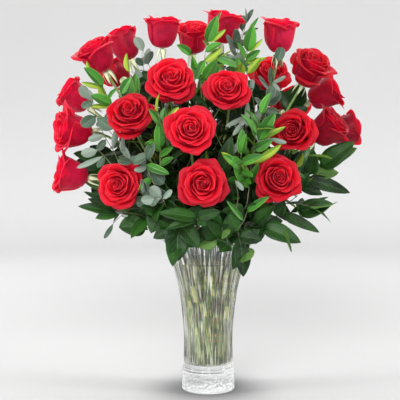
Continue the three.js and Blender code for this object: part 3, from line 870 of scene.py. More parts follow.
leafFinishes = {
    "ruscus": {
        "top": (0.060, 0.28, 0.020), "topOther": (0.008, 0.095, 0.010), "under": (0.34, 0.48, 0.05),
        "vein": (0.34, 0.52, 0.14), "veinShare": 0.5, "edge": (0.35, 0.5, 0.1), "edgeShare": 0.5,
        "veins": 9.0, "sweep": 6.0, "roughness": 0.34, "coat": 0.22, "bump": 0.3, "halfShade": 0.75,
    },
    "eucalyptus": {
        "top": (0.082, 0.135, 0.094), "topOther": (0.028, 0.062, 0.042),
        "under": (0.235, 0.295, 0.25), "vein": (0.36, 0.42, 0.30), "veinShare": 0.4,
        "edge": (0.40, 0.33, 0.22), "edgeShare": 0.6, "veins": 6.0, "sweep": 2.4, "roughness": 0.6,
        "coat": 0.0, "bump": 0.2, "halfShade": 0.3,
    },
    "salal": {
        "top": (0.017, 0.080, 0.007), "topOther": (0.0010, 0.008, 0.0015),
        "under": (0.10, 0.20, 0.045), "vein": (0.09, 0.22, 0.05), "veinShare": 0.5,
        "edge": (0.05, 0.14, 0.03), "edgeShare": 0.3, "veins": 7.0, "sweep": 2.6, "roughness": 0.40,
        "coat": 0.03, "bump": 0.5, "halfShade": 0.45,
    },
}
# what shades the darker half of a folded leaf, and the leaves deep in the bouquet
foldShade = (0.26, 0.40, 0.25)
deepLeafShade = (0.16, 0.20, 0.16)


def leafMaterial(kind):
    look = leafFinishes[kind]
    material, n = newMaterial(kind + "Leaf")
    across, along, tint, upper, depth = n.held("across", "along", "tint", "upper", "depth")
    veins = n.group(leafVeins, Across=across, Along=along, Veins=look["veins"], Sweep=look["sweep"],
                    Rib_Width=0.07)
    drift = drifting(n, look["top"], look["topOther"], 45.0, tint, 0.65)
    colour = n.mix(n.times(veins["Mask"], look["veinShare"]), drift["Color"], look["vein"])
    edge = n.times(n.span(n.math("ABSOLUTE", across), 0.86, 1.0), look["edgeShare"])
    colour = n.mix(edge, colour, look["edge"])
    pale = n.mix(n.times(veins["Mask"], 0.3), look["under"], look["vein"])
    colour = n.mix(upper, pale, colour)
    # one half of a folded leaf lies in its own shade, on either side
    flip = n.math("GREATER_THAN", n.math("FRACT", n.times(tint, 7.0)), 0.5)
    half = n.math("ABSOLUTE", n.math("SUBTRACT", n.span(across, -0.12, 0.12), flip))
    colour = n.mix(n.times(half, look["halfShade"]), colour, foldShade, "MULTIPLY")
    colour = n.mix(n.span(depth, 0.55, 0.9, 0.8, 0), colour, deepLeafShade, "MULTIPLY")
    rough = n.math("MULTIPLY_ADD", drift["Patch"], 0.16, look["roughness"])
    bump = n.add("Bump", Strength=look["bump"], Distance=0.0006, Height=veins["Height"])
    shader = n.add(
        "BsdfPrincipled", Base_Color=colour, Roughness=rough, Specular_IOR_Level=0.2,
        Coat_Weight=look["coat"], Coat_Roughness=0.25, Normal=bump,
    )
    n.finish(shader)
    return material


# wet stems are dark with blotches where the leaves were stripped, and some are painted lighter low in the
# water, a painted light
stemFinishes = {
    "rose": {"tone": (0.13, 0.27, 0.06), "other": (0.22, 0.27, 0.09), "wet": (0.16, 0.24, 0.045)},
    "foliage": {"tone": (0.12, 0.19, 0.06), "other": (0.20, 0.15, 0.07), "wet": (0.17, 0.14, 0.04)},
    "blotch": (0.020, 0.019, 0.009), "peeled": (0.62, 0.58, 0.24), "brown": (0.38, 0.17, 0.06),
    "pale": (0.62, 0.68, 0.44), "dusk": (0.03, 0.032, 0.028),
}


def stemMaterial(kind):
    look = stemFinishes[kind]
    material, n = newMaterial(kind + "Stem")
    height = n.parts(n.here())["Z"]
    tint = n.held("tint")[0]
    tone = drifting(n, look["tone"], look["other"], 24.0, tint, 0.5)
    wet = n.span(height, waterSurface, waterSurface + 0.006, 1, 0)
    own = n.add("CombineXYZ", X=n.times(tint, 9.0), Y=n.times(tint, 4.0), Z=height)
    patch = n.mottle(30.0, 2.0, 0.5, own)
    stained = n.mix(n.span(patch, 0.43, 0.51), stemFinishes["blotch"], look["wet"])
    stained = n.mix(n.span(patch, 0.55, 0.60), stained, stemFinishes["peeled"])
    stained = n.mix(n.span(n.mottle(55.0, 1.0, 0.5, own), 0.64, 0.68), stained, stemFinishes["brown"])
    colour = n.mix(n.times(wet, 0.85), tone["Color"], stained)
    # painted light: some stems are lighter towards the bottom of the vase
    pale = n.times(n.span(height, 0.17, 0.06, 0, 0.75), n.span(tint, 0.35, 0.65))
    colour = n.mix(pale, colour, stemFinishes["pale"])
    # little light comes down between the leaves, from above the water to the lowest heads
    dusk = n.times(n.span(height, waterSurface, waterSurface + 0.008), n.span(height, 0.33, 0.42, 1, 0))
    colour = n.mix(n.times(dusk, 0.65), colour, stemFinishes["dusk"])
    bump = n.add("Bump", Strength=0.3, Distance=0.0005, Height=n.mottle(400.0))
    shader = n.add("BsdfPrincipled", Base_Color=colour, Roughness=0.45, Specular_IOR_Level=0.4, Normal=bump)
    n.finish(shader)
    return material


sepalFinish = {"tone": (0.24, 0.36, 0.09), "other": (0.44, 0.52, 0.24), "upper": (0.66, 0.72, 0.46)}


def sepalMaterial():
    material, n = newMaterial("sepalGreen")
    across, tint, upper = n.held("across", "tint", "upper")
    drift = drifting(n, sepalFinish["tone"], sepalFinish["other"], 120.0, tint, 0.4)
    colour = n.mix(upper, drift["Color"], sepalFinish["upper"])
    ribs = n.math("SINE", n.times(across, 9.0))
    bump = n.add("Bump", Strength=0.2, Distance=0.0004, Height=ribs)
    n.finish(n.add("BsdfPrincipled", Base_Color=colour, Roughness=0.55, Normal=bump))
    return material


# light passes straight through to what stands behind, so the shadows stay bright
def clearShader(n, shader, passed):
    ray = n.add("LightPath")
    joined = n.tree.nodes.new("ShaderNodeMixShader")
    n.put(joined.inputs[0], n.math("MAXIMUM", ray.outputs["Is Shadow Ray"], ray.outputs["Is Diffuse Ray"]))
    n.put(joined.inputs[1], shader)
    n.put(joined.inputs[2], n.add("BsdfTransparent", Color=passed))
    return joined


# the glass with its painted dark edges and streaks and its painted glints and foot glow, what its shadow lets
# through, and the heights in metres where the foot ends and the body begins
crystalFinish = {
    "clear": (0.985, 0.99, 0.99), "edge": (0.42, 0.44, 0.43), "streak": (0.45, 0.47, 0.44),
    "paintedFootGlow": (0.19, 0.195, 0.2), "glow": 0.25, "passed": (0.86, 0.88, 0.87),
    "footPassed": (0.2, 0.2, 0.2), "footTop": (0.041, 0.038), "bodyStart": (0.052, 0.06), "streaks": 24.0,
}


def crystalMaterial():
    look = crystalFinish
    material, n = newMaterial("cutCrystal")
    place = n.here()
    parts = n.parts(place)
    height = parts["Z"]
    inFoot = n.span(height, *look["footTop"], 0, 1)
    chips = n.add("TexVoronoi", {"feature": "DISTANCE_TO_EDGE"}, Vector=place, Scale=95.0)
    frost = n.times(inFoot, n.math("ADD", chips.outputs["Distance"], n.mottle(260.0)))
    frosted = n.add("Bump", Strength=0.35, Distance=0.001, Height=frost)
    # upright streaks between the flutes: cut marks in the bump, and from the same noise painted dark streaks
    # and painted glints
    around = n.times(n.math("ARCTAN2", parts["Y"], parts["X"]), look["streaks"])
    streak = n.mottle(1.0, 2.0, 0.6, n.add("CombineXYZ", X=around, Y=n.times(height, 11.0)))
    cuts = n.math("ADD", n.math("ABSOLUTE", n.math("SINE", around)), streak)
    onBody = n.span(height, *look["bodyStart"])
    bump = n.add("Bump", Strength=n.times(onBody, 0.42), Distance=0.0011, Height=cuts, Normal=frosted)
    # painted shade: the glass is darker where it is seen edge-on
    slope = n.add("LayerWeight", Blend=0.5).outputs["Facing"]
    tone = n.mix(n.span(slope, 0.80, 0.97), look["clear"], look["edge"])
    # painted shade in dark upright streaks on the body
    tone = n.mix(n.times(onBody, n.span(streak, 0.44, 0.36, 0, 0.8)), tone, look["streak"])
    # painted highlights: thin bright glints on the body, and a faint painted glow all over the foot
    paintedGlint = n.mix(n.times(onBody, n.span(streak, 0.57, 0.66)), (0, 0, 0), (1, 1, 1))
    shader = n.add(
        "BsdfPrincipled", Base_Color=tone, IOR=1.46, Transmission_Weight=1.0, Metallic=0.0,
        Roughness=n.math("MULTIPLY_ADD", inFoot, 0.12, 0.004), Normal=bump,
        Emission_Color=n.mix(inFoot, paintedGlint, look["paintedFootGlow"]), Emission_Strength=look["glow"],
    )
    n.finish(clearShader(n, shader, n.mix(inFoot, look["passed"], look["footPassed"])))
    return material


# the rim of the water creeps up the glass, and a painted dark line shows at the top of the water
waterFinish = {
    "tone": (0.90, 0.90, 0.81), "other": (0.85, 0.84, 0.72), "rim": (0.50, 0.48, 0.40),
    "rimHeight": (0.0026, 0.001), "passed": (0.86, 0.88, 0.87),
}


def waterMaterial():
    look = waterFinish
    material, n = newMaterial("vaseWater")
    colour = n.mix(n.mottle(20.0), look["tone"], look["other"])
    # painted shade: a dark line at the top of the water, where it meets the glass
    rim = n.span(n.parts(n.here())["Z"], *(waterSurface - below for below in look["rimHeight"]))
    colour = n.mix(rim, colour, look["rim"])
    shader = n.add(
        "BsdfPrincipled", Base_Color=colour, IOR=1.33, Transmission_Weight=1.0, Metallic=0.0, Roughness=0.0,
    )
    n.finish(clearShader(n, shader, look["passed"]))
    return material


petalSkins = {kind: petalMaterial(kind) for kind in petalFinishes}
sepalGreen = sepalMaterial()
roseStemSkin = stemMaterial("rose")
foliageStemSkin = stemMaterial("foliage")
leafSkins = {kind: leafMaterial(kind) for kind in foliageKinds}
cutCrystal = crystalMaterial()
clearWater = waterMaterial()
print("materials ready")

# roses

# Shares of the bloom's radius and height: the cup's bulge and mouth, its height, half its wrap in degrees,
# its lean at the mouth, the lip's length, how far the lip curls, how pointed it is, and how much one side
# wraps under the next petal. Each whorl has them for its innermost petal and its outermost, in an open bloom
# and in a closed one.
petalTraits = ("bulge", "mouth", "height", "wrap", "lean", "lip", "curl", "point", "spiral")
whorls = {
    "bud": {
        "count": 8,
        "open": [(0.1, 0.3), (0.03, 0.27), (0.93, 0.96), (150, 104), (0, 4), (0.03, 0.06), (40, 80),
                 (0.1, 0.2), (0.2, 0.14)],
        "closed": [(0.1, 0.34), (0.04, 0.3), (0.86, 0.93), (150, 104), (0, 0), (0.03, 0.05), (40, 60),
                   (0.1, 0.2), (0.2, 0.14)],
    },
    "middle": {
        "count": 7,
        "open": [(0.4, 0.66), (0.34, 0.6), (0.95, 0.86), (88, 70), (2, 14), (0.07, 0.16), (60, 84),
                 (0.2, 0.6), (0.13, 0.09)],
        "closed": [(0.42, 0.64), (0.38, 0.6), (0.94, 0.94), (86, 74), (0, 4), (0.05, 0.1), (50, 70),
                   (0.2, 0.5), (0.12, 0.09)],
    },
    "outer": {
        "count": 7,
        "open": [(0.7, 0.84), (0.66, 0.8), (0.82, 0.6), (64, 56), (18, 42), (0.2, 0.28), (74, 84),
                 (0.45, 1.1), (0.07, 0.05)],
        "closed": [(0.68, 0.78), (0.66, 0.78), (0.92, 0.84), (74, 64), (-4, 8), (0.14, 0.34), (72, 112),
                   (0.5, 1.4), (0.07, 0.04)],
    },
    "guard": {
        "count": 2,
        "open": [(0.84, 0.86), (0.84, 0.86), (0.46, 0.42), (52, 48), (46, 50), (0.26, 0.24), (70, 80),
                 (0.8, 1.4), (0.0, 0.0)],
        "closed": [(0.8, 0.84), (0.84, 0.84), (0.5, 0.4), (50, 46), (18, 26), (0.26, 0.26), (90, 110),
                   (1.2, 1.8), (0.0, 0.0)],
    },
}
guardShare = 0.75  # of the open blooms have guard petals
turnedForm = {"belly": 0.8, "lip": 1.3, "mouth": 1.05}  # against a bloom that shows its face
# the cup's share of a petal's length, how broad it stands, how far it holds its lean, how much its edges dip,
# how wide, long and low the lip's tip is, and the waves across it: how close and how strong
petalShape = {
    "cup": 0.55, "foot": 0.06, "hold": 0.5, "edgeDip": 0.1, "tipWidth": 0.45, "tipReach": 0.08,
    "tipDrop": 0.015, "slowWave": (3.1, 0.035), "fastWave": (7.3, 0.022), "liftWave": (2.6, 0.025),
}
goldenTurn = 137.5  # degrees from each petal to the next
petalThickness = 0.5


def smooth(low, high, value):
    s = np.clip((value - low) / (high - low), 0, 1)
    return s * s * (3 - 2 * s)


# the petals of a bloom from the centre outwards, each with its own form; only open blooms have guard petals
def petalForms(openness, rng):
    forms = []
    for name, whorl in whorls.items():
        bare = name == "guard" and not (openness > 0.45 and rng.random() < guardShare)
        count = 0 if bare else whorl["count"]
        for k in range(count):
            share = k / max(count - 1, 1)
            form = {}
            for trait, opened, shut in zip(petalTraits, whorl["open"], whorl["closed"]):
                whenOpen, whenShut = (first + (last - first) * share for first, last in (opened, shut))
                form[trait] = (whenOpen * openness + whenShut * (1 - openness)) * rng.uniform(0.95, 1.05)
            form["point"] *= rng.uniform(0.2, 1.4)
            form["belly"] = 0.86 + 0.39 * openness
            form["curl"] *= rng.uniform(0.85, 1.15)
            form["lean"] += rng.uniform(-5, 5) * share
            forms.append(form)
    return forms


# the middle surface of a petal: a cup that rises from the base, then a lip that curls out of its mouth
def petalGrid(radius, height, form, angle, rng):
    v, u = np.meshgrid(np.linspace(0, 1, 13), np.linspace(1, -1, 13), indexing="ij")
    aside = np.abs(u)
    shape, cupShare = petalShape, petalShape["cup"]
    cup = np.clip(v / cupShare, 0, 1)
    lip = np.clip((v - cupShare) / (1 - cupShare), 0, 1)
    lean, curl = math.radians(form["lean"]), math.radians(form["curl"])
    mouth, tall = radius * form["mouth"], height * form["height"]
    hold = shape["hold"] * tall
    side = (
        vec(shape["foot"] * radius, 0), vec(radius * form["bulge"] * form["belly"], 0),
        vec(mouth - math.sin(lean) * hold, tall - math.cos(lean) * hold), vec(mouth, tall),
    )
    place = bezier(side, cup * (1 - shape["edgeDip"] * aside**3))
    length = radius * form["lip"] * (1 - (0.25 + 0.25 * min(form["point"], 1)) * aside**2)
    turning = curl * (0.85 + 0.3 * aside)
    bend = length / turning
    out = place[..., 0] + bend * (math.cos(lean) - np.cos(lean + turning * lip))
    up = place[..., 1] + bend * (np.sin(lean + turning * lip) - math.sin(lean))
    # the tip of the lip is drawn out to a point and turned down a little
    tip = lip**2 * np.clip(1 - aside / shape["tipWidth"], 0, 1) ** 1.6 * form["point"]
    out = out + radius * shape["tipReach"] * tip
    up = up - height * shape["tipDrop"] * tip
    # no two petals wave alike
    phase = rng.uniform(0, 6.28)
    (slow, sway), (fast, ripple), (lift, rise) = (shape[k] for k in ("slowWave", "fastWave", "liftWave"))
    out = out * (1 + form["spiral"] * u) + np.sin(slow * u + phase) * v**2 * radius * sway
    out = out + np.sin(fast * u + 2 * phase) * lip**2 * radius * ripple
    up = up + np.cos(lift * u + phase) * v**2 * height * rise
    wrap = math.radians(form["wrap"]) * (0.4 + 0.6 * smooth(0.0, 0.4, v)) * (1 - 0.22 * lip**1.5)
    turn = angle + u * wrap
    return np.stack([out * np.cos(turn), out * np.sin(turn), up], -1)


def makeBloom(i, rose):
    number = i + 1
    *_, width, ownOpenness = rose
    way, seat = seatOf(rose)
    rng = np.random.default_rng(seeds["bloom"] + i)
    turn = standing(way)
    spin = rng.uniform(0, 2 * math.pi)
    bloom = Builder()
    away = number in turnedAway
    openness = turnedAway.get(number, ownOpenness)
    skin = petalSkins["open" if openness > 0.35 and not away else "closed"]
    forms = petalForms(openness, rng)
    if away:
        for form in forms:
            for trait, share in turnedForm.items():
                form[trait] *= share
    height = bloomHeight(width, ownOpenness) * lowPetals.get(number, 1)
    for k, form in enumerate(forms):
        angle = spin + math.radians(goldenTurn) * k + rng.uniform(-0.15, 0.15)
        grid = petalGrid(width / 2, height, form, angle, rng)
        bloom.blade(grid @ turn.T + seat, petalThickness, rim=0.6, tint=rng.uniform(0, 1),
                    depth=1 - k / len(forms), deep=redToneAndShade.get(number, 0))
    bloom.make(f"roseBloom{number:02d}", [skin], "petals", f"rose_{number:02d}_bloom")


def sepalGrid(angle, rng):
    reach = roseStem["sepalReach"] * rng.uniform(0.9, 1.05)
    drop = roseStem["sepalDrop"] * rng.uniform(0.9, 1.15)
    v, u = np.meshgrid(np.linspace(0, 1, 8), np.linspace(1, -1, 5), indexing="ij")
    line = bezier((vec(5, -1.5), vec(reach * 0.8, 1), vec(reach * 1.1, -drop * 0.5), vec(reach, -drop)), v)
    half = roseStem["sepalWidth"] * 0.42 * (1 - v) ** 0.8 * (0.6 + 0.8 * np.sqrt(v)) + 0.25
    sideways = half * u
    out = line[..., 0] - 0.06 * sideways**2
    c, s = math.cos(angle), math.sin(angle)
    return np.stack([out * c - sideways * s, out * s + sideways * c, line[..., 1]], -1)


# a thorn is broad on the stem and hooks back down
def addThorn(stem, place, ahead, rng):
    side = turnAbout(unit(np.cross(ahead, vec(0.2, 0.3, 0.9))), ahead, rng.uniform(0, 6.28))
    size = rng.uniform(3.5, 5.5)
    spine = [place + side * 1.6, place + side * 3.2 - ahead * 0.4, place + side * size - ahead * 1.6]
    stem.add(*tubeOf(spine, (2.0, 0.9, 0.12), 5), 0, tint=0.9)


def makeRoseStem(i, rose):
    foot, top = stands[i]
    way, seat = seatOf(rose)
    below = seat - way * gap
    end = below - way * roseStem["hipLength"] * 0.5
    along = unit(top - foot)
    node = f"rose_{i + 1:02d}_stem"
    controls = foundBend(node, lambda bow: bendBetween(top, along, end, way, roseStem["neckReach"], bow),
                         (0.25, 0.5, 0.75), roseStem["radius"], cornersOf(node))
    rng = np.random.default_rng(seeds["roseStem"] + i)
    stem = Builder()
    stem.stalk(stemPath(foot, top, controls, 26), roseStem["radius"], 1.0, 0.86, 10, rng)
    for k in range(roseStem["thorns"]):
        t = (k + rng.uniform(0.2, 0.8)) / roseStem["thorns"] * 0.8
        addThorn(stem, bezier(controls, t), heading(controls, t), rng)
    turn = standing(way)
    places, faces = turnedRings(roseStem["hip"], 14)
    stem.add(places @ turn.T + below, faces, 1, tint=0.3, upper=1, along=0.5)
    spin = rng.uniform(0, 6.28)
    for k in range(roseStem["sepals"]):
        grid = sepalGrid(spin + k * 2 * math.pi / roseStem["sepals"], rng) @ turn.T + below
        stem.blade(grid, 0.6, 1, tint=rng.uniform(0, 1))
    stem.make(f"roseStem{i + 1:02d}", [roseStemSkin, sepalGreen], "rose_stems", node)


for index, rose in enumerate(roseTable):
    makeBloom(index, rose)
    makeRoseStem(index, rose)
print("roses ready:", len(roseTable))

# foliage

bloomBalls = [(vec(*rose[:3]), rose[5] / 2) for rose in roseTable]
vaseOutside = np.array(vaseShape["foot"] + vaseShape["body"], float)
glassMargin = 1.5


def clearOfBlooms(places, share):
    for middle, radius in bloomBalls:
        if np.min(np.linalg.norm(places - middle, axis=1)) <= radius * share:
            return False
    return True


# whether places are neither in the glass nor in the water
def clearOfVase(places):
    x, y, z = places.T
    radii, heights = vaseOutside.T
    across = np.hypot(x, y)
    outside = np.interp(z, heights, radii) + glassMargin
    inside = np.interp(z, heights, radii - vaseShape["wall"]) - glassMargin
    low = z < vaseShape["body"][-1][1] + 1
    return not np.any(low & (across < outside) & ((across > inside) | (z < vaseShape["waterLevel"])))


# the finished bouquet may stand a little proud of the solids
proud = 8
roomLow = np.array(cadBox[0]) / millimetre - proud
roomHigh = np.array(cadBox[1]) / millimetre + proud


def insideRoom(places):
    return bool(np.all(places > roomLow) and np.all(places < roomHigh))


# the roses' faces in the photograph's pixels, and how far back each one is
millimetresPerPixel = 1.92
openFace = 0.82  # share of a face's radius that no small leaf may hide
roseFaces = []
for middle, radius in bloomBalls:
    faceX, faceY = pixelsOf(middle[None])
    roseFaces.append((float(faceX[0]), float(faceY[0]), radius / millimetresPerPixel, middle[1]))


# whether a leaf keeps to the bouquet's edge, and off its gaps and the roses' faces, as the camera sees them
def asShown(places):
    x, y = pixelsOf(places)
    if np.any(y > np.interp(x, *zip(*lowEdge)) + 1):
        return False
    if any(np.any(np.hypot(x - gapX, y - gapY) < size) for gapX, gapY, size in gapsShown):
        return False
    return not any(
        np.any((np.hypot(x - faceX, y - faceY) < size * openFace) & (places[:, 1] < front))
        for faceX, faceY, size, front in roseFaces
    )


def leafWidths(kind, v):
    a, b = kind["swell"]
    peak = (a / (a + b)) ** a * (b / (a + b)) ** b
    stalk = kind["petiole"]
    s = np.clip((v - stalk) / (1 - stalk), 0, 1)
    return np.maximum(s**a * (1 - s) ** b / peak, 0.035 * (1 - v))


# the middle surface of a leaf, folded along its midrib, drooping to its tip and waved at its edges
def leafGrid(kind, start, way, face, length, width, rng):
    side = np.cross(way, face)
    v, u = np.meshgrid(np.linspace(0, 1, 11) ** 0.9, np.linspace(-1, 1, 7), indexing="ij")
    out = leafWidths(kind, v) * width / 2 * u
    droop = kind["droop"] * rng.uniform(0.8, 1.25)
    wave = kind["wave"] * np.sin(v * rng.uniform(7, 11) + rng.uniform(0, 6.28)) * u**2
    lift = kind["fold"] * np.abs(out) - droop * length * v**2 + wave * np.sin(math.pi * v)
    bend = rng.uniform(-0.06, 0.06) * length * v**2
    return start + way * (length * v)[..., None] + side * (out + bend)[..., None] + face * lift[..., None]


# the way and the upper side of a leaf on a sprig, before it is turned to the light
def leafAim(kind, stem, light, rank, lean):
    aside = unit(np.cross(stem, light))
    outward = turnAbout(aside, stem, rank)
    way = stem * math.cos(lean) + outward * math.sin(lean)
    face = stem * math.sin(lean) - outward * math.cos(lean) + light * kind["spread"]
    face = unit(face - way * np.dot(face, way))
    return way, face


# the leaves that the solid has on a sprig, each swung the way that its tip was found in the solid
def solidLeaves(kind, controls, seed, corners):
    arc = ArcTable(controls)
    count = math.floor((arc.length * (1 - kind["bare"])) / kind["spacing"])
    leaves = []
    for i in range(count + 1):
        t = arc.at(1 - (i * kind["spacing"]) / arc.length)
        root, stem = bezier(controls, t), heading(controls, t)
        light = unit(root - heart)
        for copy in range(kind["pair"] if i else 1):
            key = seed + 3 * i + copy
            size = (1 if i else leafRule["first"]) * (leafRule["size"] + leafRule["spread"] * draw(key))
            rank = kind["turn"] * i + 180 * copy + leafRule["twist"] * draw(key + 0.5)
            for turn, tilt in swings:
                lean = math.radians(kind["lean"] + tilt if i else leafRule["firstLean"] + abs(tilt))
                way, face = leafAim(kind, stem, light, math.radians(rank + turn), lean)
                start = root - way * kind["twigRadius"] * 0.5
                length = kind["length"] * size
                tip = start + way * length + face * (kind["thickness"] / 2 - kind["droop"] * length)
                if corners.find(Vector(tip))[2] < tipSlack:
                    leaves.append((start, way, face, size))
                    break
    return leaves


bouquet = {
    "middle": (0, 0, 430), "reach": (250, 190, 270),
    "fillerMiddle": (0, 0, 415), "fillerReach": (250, 185, 275), "fillerShare": (0.55, 0.86),
}
keepOut = {"leaf": 0.86, "shownLeaf": 0.92, "twig": 1.0}  # of a bloom's radius, that none of them enters
nearerSteps = (12, 26, 40, 0, 56, -16, 72, -32)  # tried in turn for a leaf that the photograph shows
leafThickness = 0.45
fillerTries = 14
outwardLift = 160  # a fork points away from the axis and up


# how near a place is to the outside of the bouquet, 1 there
def towardsEdge(place):
    return float(np.linalg.norm((place - vec(*bouquet["middle"])) / vec(*bouquet["reach"])))


def addLeaf(piece, kind, start, way, face, size, rng, check=True):
    grid = leafGrid(kind, start, way, face, kind["length"] * size, kind["width"] * size, rng)
    if check:
        sample = grid[2:, ::3].reshape(-1, 3)
        clear = clearOfBlooms(sample, keepOut["leaf"]) and clearOfVase(sample)
        if not (clear and insideRoom(sample) and asShown(sample)):
            return
    piece.blade(grid, leafThickness, 1, tint=rng.uniform(0, 1), depth=towardsEdge(grid[5, 3]))


# A leaf that the photograph shows, from the nearest place on its twig. Its tip is moved nearer or further
# until the leaf is clear of the blooms and the glass.
def addShownLeaf(piece, kind, path, leaf, depth, rng):
    rootX, rootY, tipX, tipY, width, upperShows = leaf
    root = seen(rootX, rootY, depth)
    start = path[np.argmin(np.linalg.norm(path - root, axis=1))]
    for nearer in nearerSteps:
        tip = seen(tipX, tipY, depth - nearer)
        way, length = unit(tip - start), np.linalg.norm(tip - start)
        tilt = vec(rng.uniform(-0.4, 0.4), -1, rng.uniform(0.2, 0.7))
        face = unit(tilt - way * np.dot(tilt, way)) * (1 if upperShows else -1)
        grid = leafGrid(kind, start, way, face, length, width * kind["shownWidth"], rng)
        grid += face * kind["droop"] * length * np.linspace(0, 1, len(grid))[:, None, None]
        clear = clearOfBlooms(grid.reshape(-1, 3), keepOut["shownLeaf"])
        if clear and clearOfVase(grid[3:].reshape(-1, 3)):
            break
    shaded = kind is foliageKinds["salal"] and depth > 5
    piece.blade(grid, leafThickness, 1, tint=rng.uniform(0, 1), depth=0.65 if shaded else 1)


# the small leaves all along a sprig, down to a share of its length
def extraLeaves(piece, kind, controls, rng, low=0.12):
    arc = ArcTable(controls)
    place, rank = rng.uniform(0, 0.5) * kind["fineSpacing"], rng.uniform(0, 360)
    while place < arc.length * (1 - low):
        t = arc.at(1 - place / arc.length)
        root, stem = bezier(controls, t), heading(controls, t)
        light = unit(root - heart)
        for copy in range(kind["pair"]):
            lean = math.radians(kind["lean"] + rng.uniform(-14, 14) if place > 6 else 12)
            turn = math.radians(rank + 180 * copy + rng.uniform(-18, 18))
            way, face = leafAim(kind, stem, light, turn, lean)
            size = rng.uniform(0.7, 1.02)
            addLeaf(piece, kind, root - way * kind["twigRadius"] * 0.5, way, face, size, rng)
        rank += kind["turn"]
        place += kind["fineSpacing"] * rng.uniform(0.85, 1.2)


# the twigs that fill the bouquet, which only the scene has
def fillerBends(kind, forkPlace, mainBend, rng):
    bends = []
    azimuth = math.atan2(forkPlace[0], -forkPlace[1])
    for _ in range(kind["filler"]):
        for _ in range(fillerTries):
            a = azimuth + rng.uniform(-1.1, 1.1)
            e = math.radians(rng.uniform(-15, 70))
            share = rng.uniform(*bouquet["fillerShare"])
            end = aimed(a, e) * vec(*bouquet["fillerReach"]) * share + vec(*bouquet["fillerMiddle"])
            start = bezier(mainBend, rng.uniform(0.55, 0.95))
            chord = end - start
            out = unit(vec(start[0], start[1], outwardLift))
            into = unit(unit(chord) + vec(0, 0, kind["arch"] * 0.5))
            bend = bendBetween(start, out, end, into, np.linalg.norm(chord) * bendReach, bows[0])
            path = bezier(bend, np.linspace(0, 1, 14))
            if clearOfBlooms(path, keepOut["twig"]) and clearOfVase(path[4:]):
                bends.append(bend)
                break
    return bends


def makeBranch(order, name):
    forkPlace, ends = branchTable[name]
    kindName = name.split("_")[0]
    kind = foliageKinds[kindName]
    foot, top = stands[len(roseTable) + order]
    forkPlace = vec(*forkPlace)
    up = unit(vec(forkPlace[0], forkPlace[1], outwardLift))
    along = unit(top - foot)
    corners = cornersOf(name)
    rng = np.random.default_rng(seeds["branch"] + order)
    thirds = (1 / 3, 2 / 3)
    main = foundBend(name, lambda bow: bendBetween(top, along, forkPlace, up, fork["reach"], bow),
                     thirds, kind["stemRadius"], corners)
    piece = Builder()
    piece.stalk(stemPath(foot, top, main, 12), kind["stemRadius"], 1.0, 0.85, 8, rng)
    found = 0
    twigs = []
    for i, end in enumerate(ends):
        start = forkPlace - up * (fork["first"] + fork["step"] * i)
        chord = vec(*end) - start
        into = unit(unit(chord) + vec(0, 0, kind["arch"]))
        reach = np.linalg.norm(chord) * bendReach
        bend = foundBend(
            f"sprig {i} of {name}", lambda bow: bendBetween(start, up, vec(*end), into, reach, bow),
            thirds, kind["twigRadius"], corners,
        )
        twigs.append(bend)
        key = leafKeys["first"] + leafKeys["branch"] * order + leafKeys["sprig"] * i
        for leaf in solidLeaves(kind, bend, key, corners):
            addLeaf(piece, kind, *leaf, rng, check=False)
            found += 1
        extraLeaves(piece, kind, bend, rng)
    for bend in fillerBends(kind, forkPlace, main, rng):
        twigs.append(bend)
        extraLeaves(piece, kind, bend, rng, low=0.2)
    for depth, twig, leaves in shownSprays.get(name, []):
        join = forkPlace * 0.5 + seen(*twig[-1], depth) * 0.5 + vec(0, 0, -6)
        path = np.array(evenCurve([seen(*pixel, depth) for pixel in twig] + [join, forkPlace - up], 8))
        for leaf in leaves:
            addShownLeaf(piece, kind, path, leaf, depth, rng)
        piece.stalk(path, kind["twigRadius"], 0.45, 1.0, 6, rng)
    for bend in twigs:
        piece.stalk(bezier(bend, np.linspace(0, 1, 18)), kind["twigRadius"], 1.05, 0.5, 6, rng)
    first, *others = name.split("_")
    label = first + "".join(word.capitalize() for word in others)
    piece.make(label, [foliageStemSkin, leafSkins[kindName]], kindName, name)
    print(" ", label, found, "leaves of the solid,", piece.count, "points")


for order, name in enumerate(branchTable):
    makeBranch(order, name)
print("foliage ready")

# vase and water

# the round between the floor and the wall inside, or so much outside it
def floorRound(outside, angles):
    size = vaseShape["floorRound"]
    radius, height = vaseShape["innerFoot"] + outside, vaseShape["floor"] + size - outside
    return [(radius - size * (1 - math.cos(a)), height - size * math.sin(a)) for a in angles]


# the inside of the wall, from the floor up
def insideWall(wall):
    foot = (vaseShape["innerFoot"], vaseShape["floor"] + 5)
    return [foot] + [(r - wall, z) for r, z in vaseShape["body"][1:]]


# chips cut into the foot, as how far each place of a ring lies below the skin
def chipDepths(angles, z):
    chips = vaseShape["chips"]
    around = chips["around"]
    spots = [Vector((math.cos(a) * around, math.sin(a) * around, z * chips["up"])) for a in angles]
    ridges = np.array([distances[1] - distances[0] for distances, _ in map(noise.voronoi, spots)])
    return chips["depth"] * (1 - smooth(0.0, 0.5, ridges)) + chips["least"]


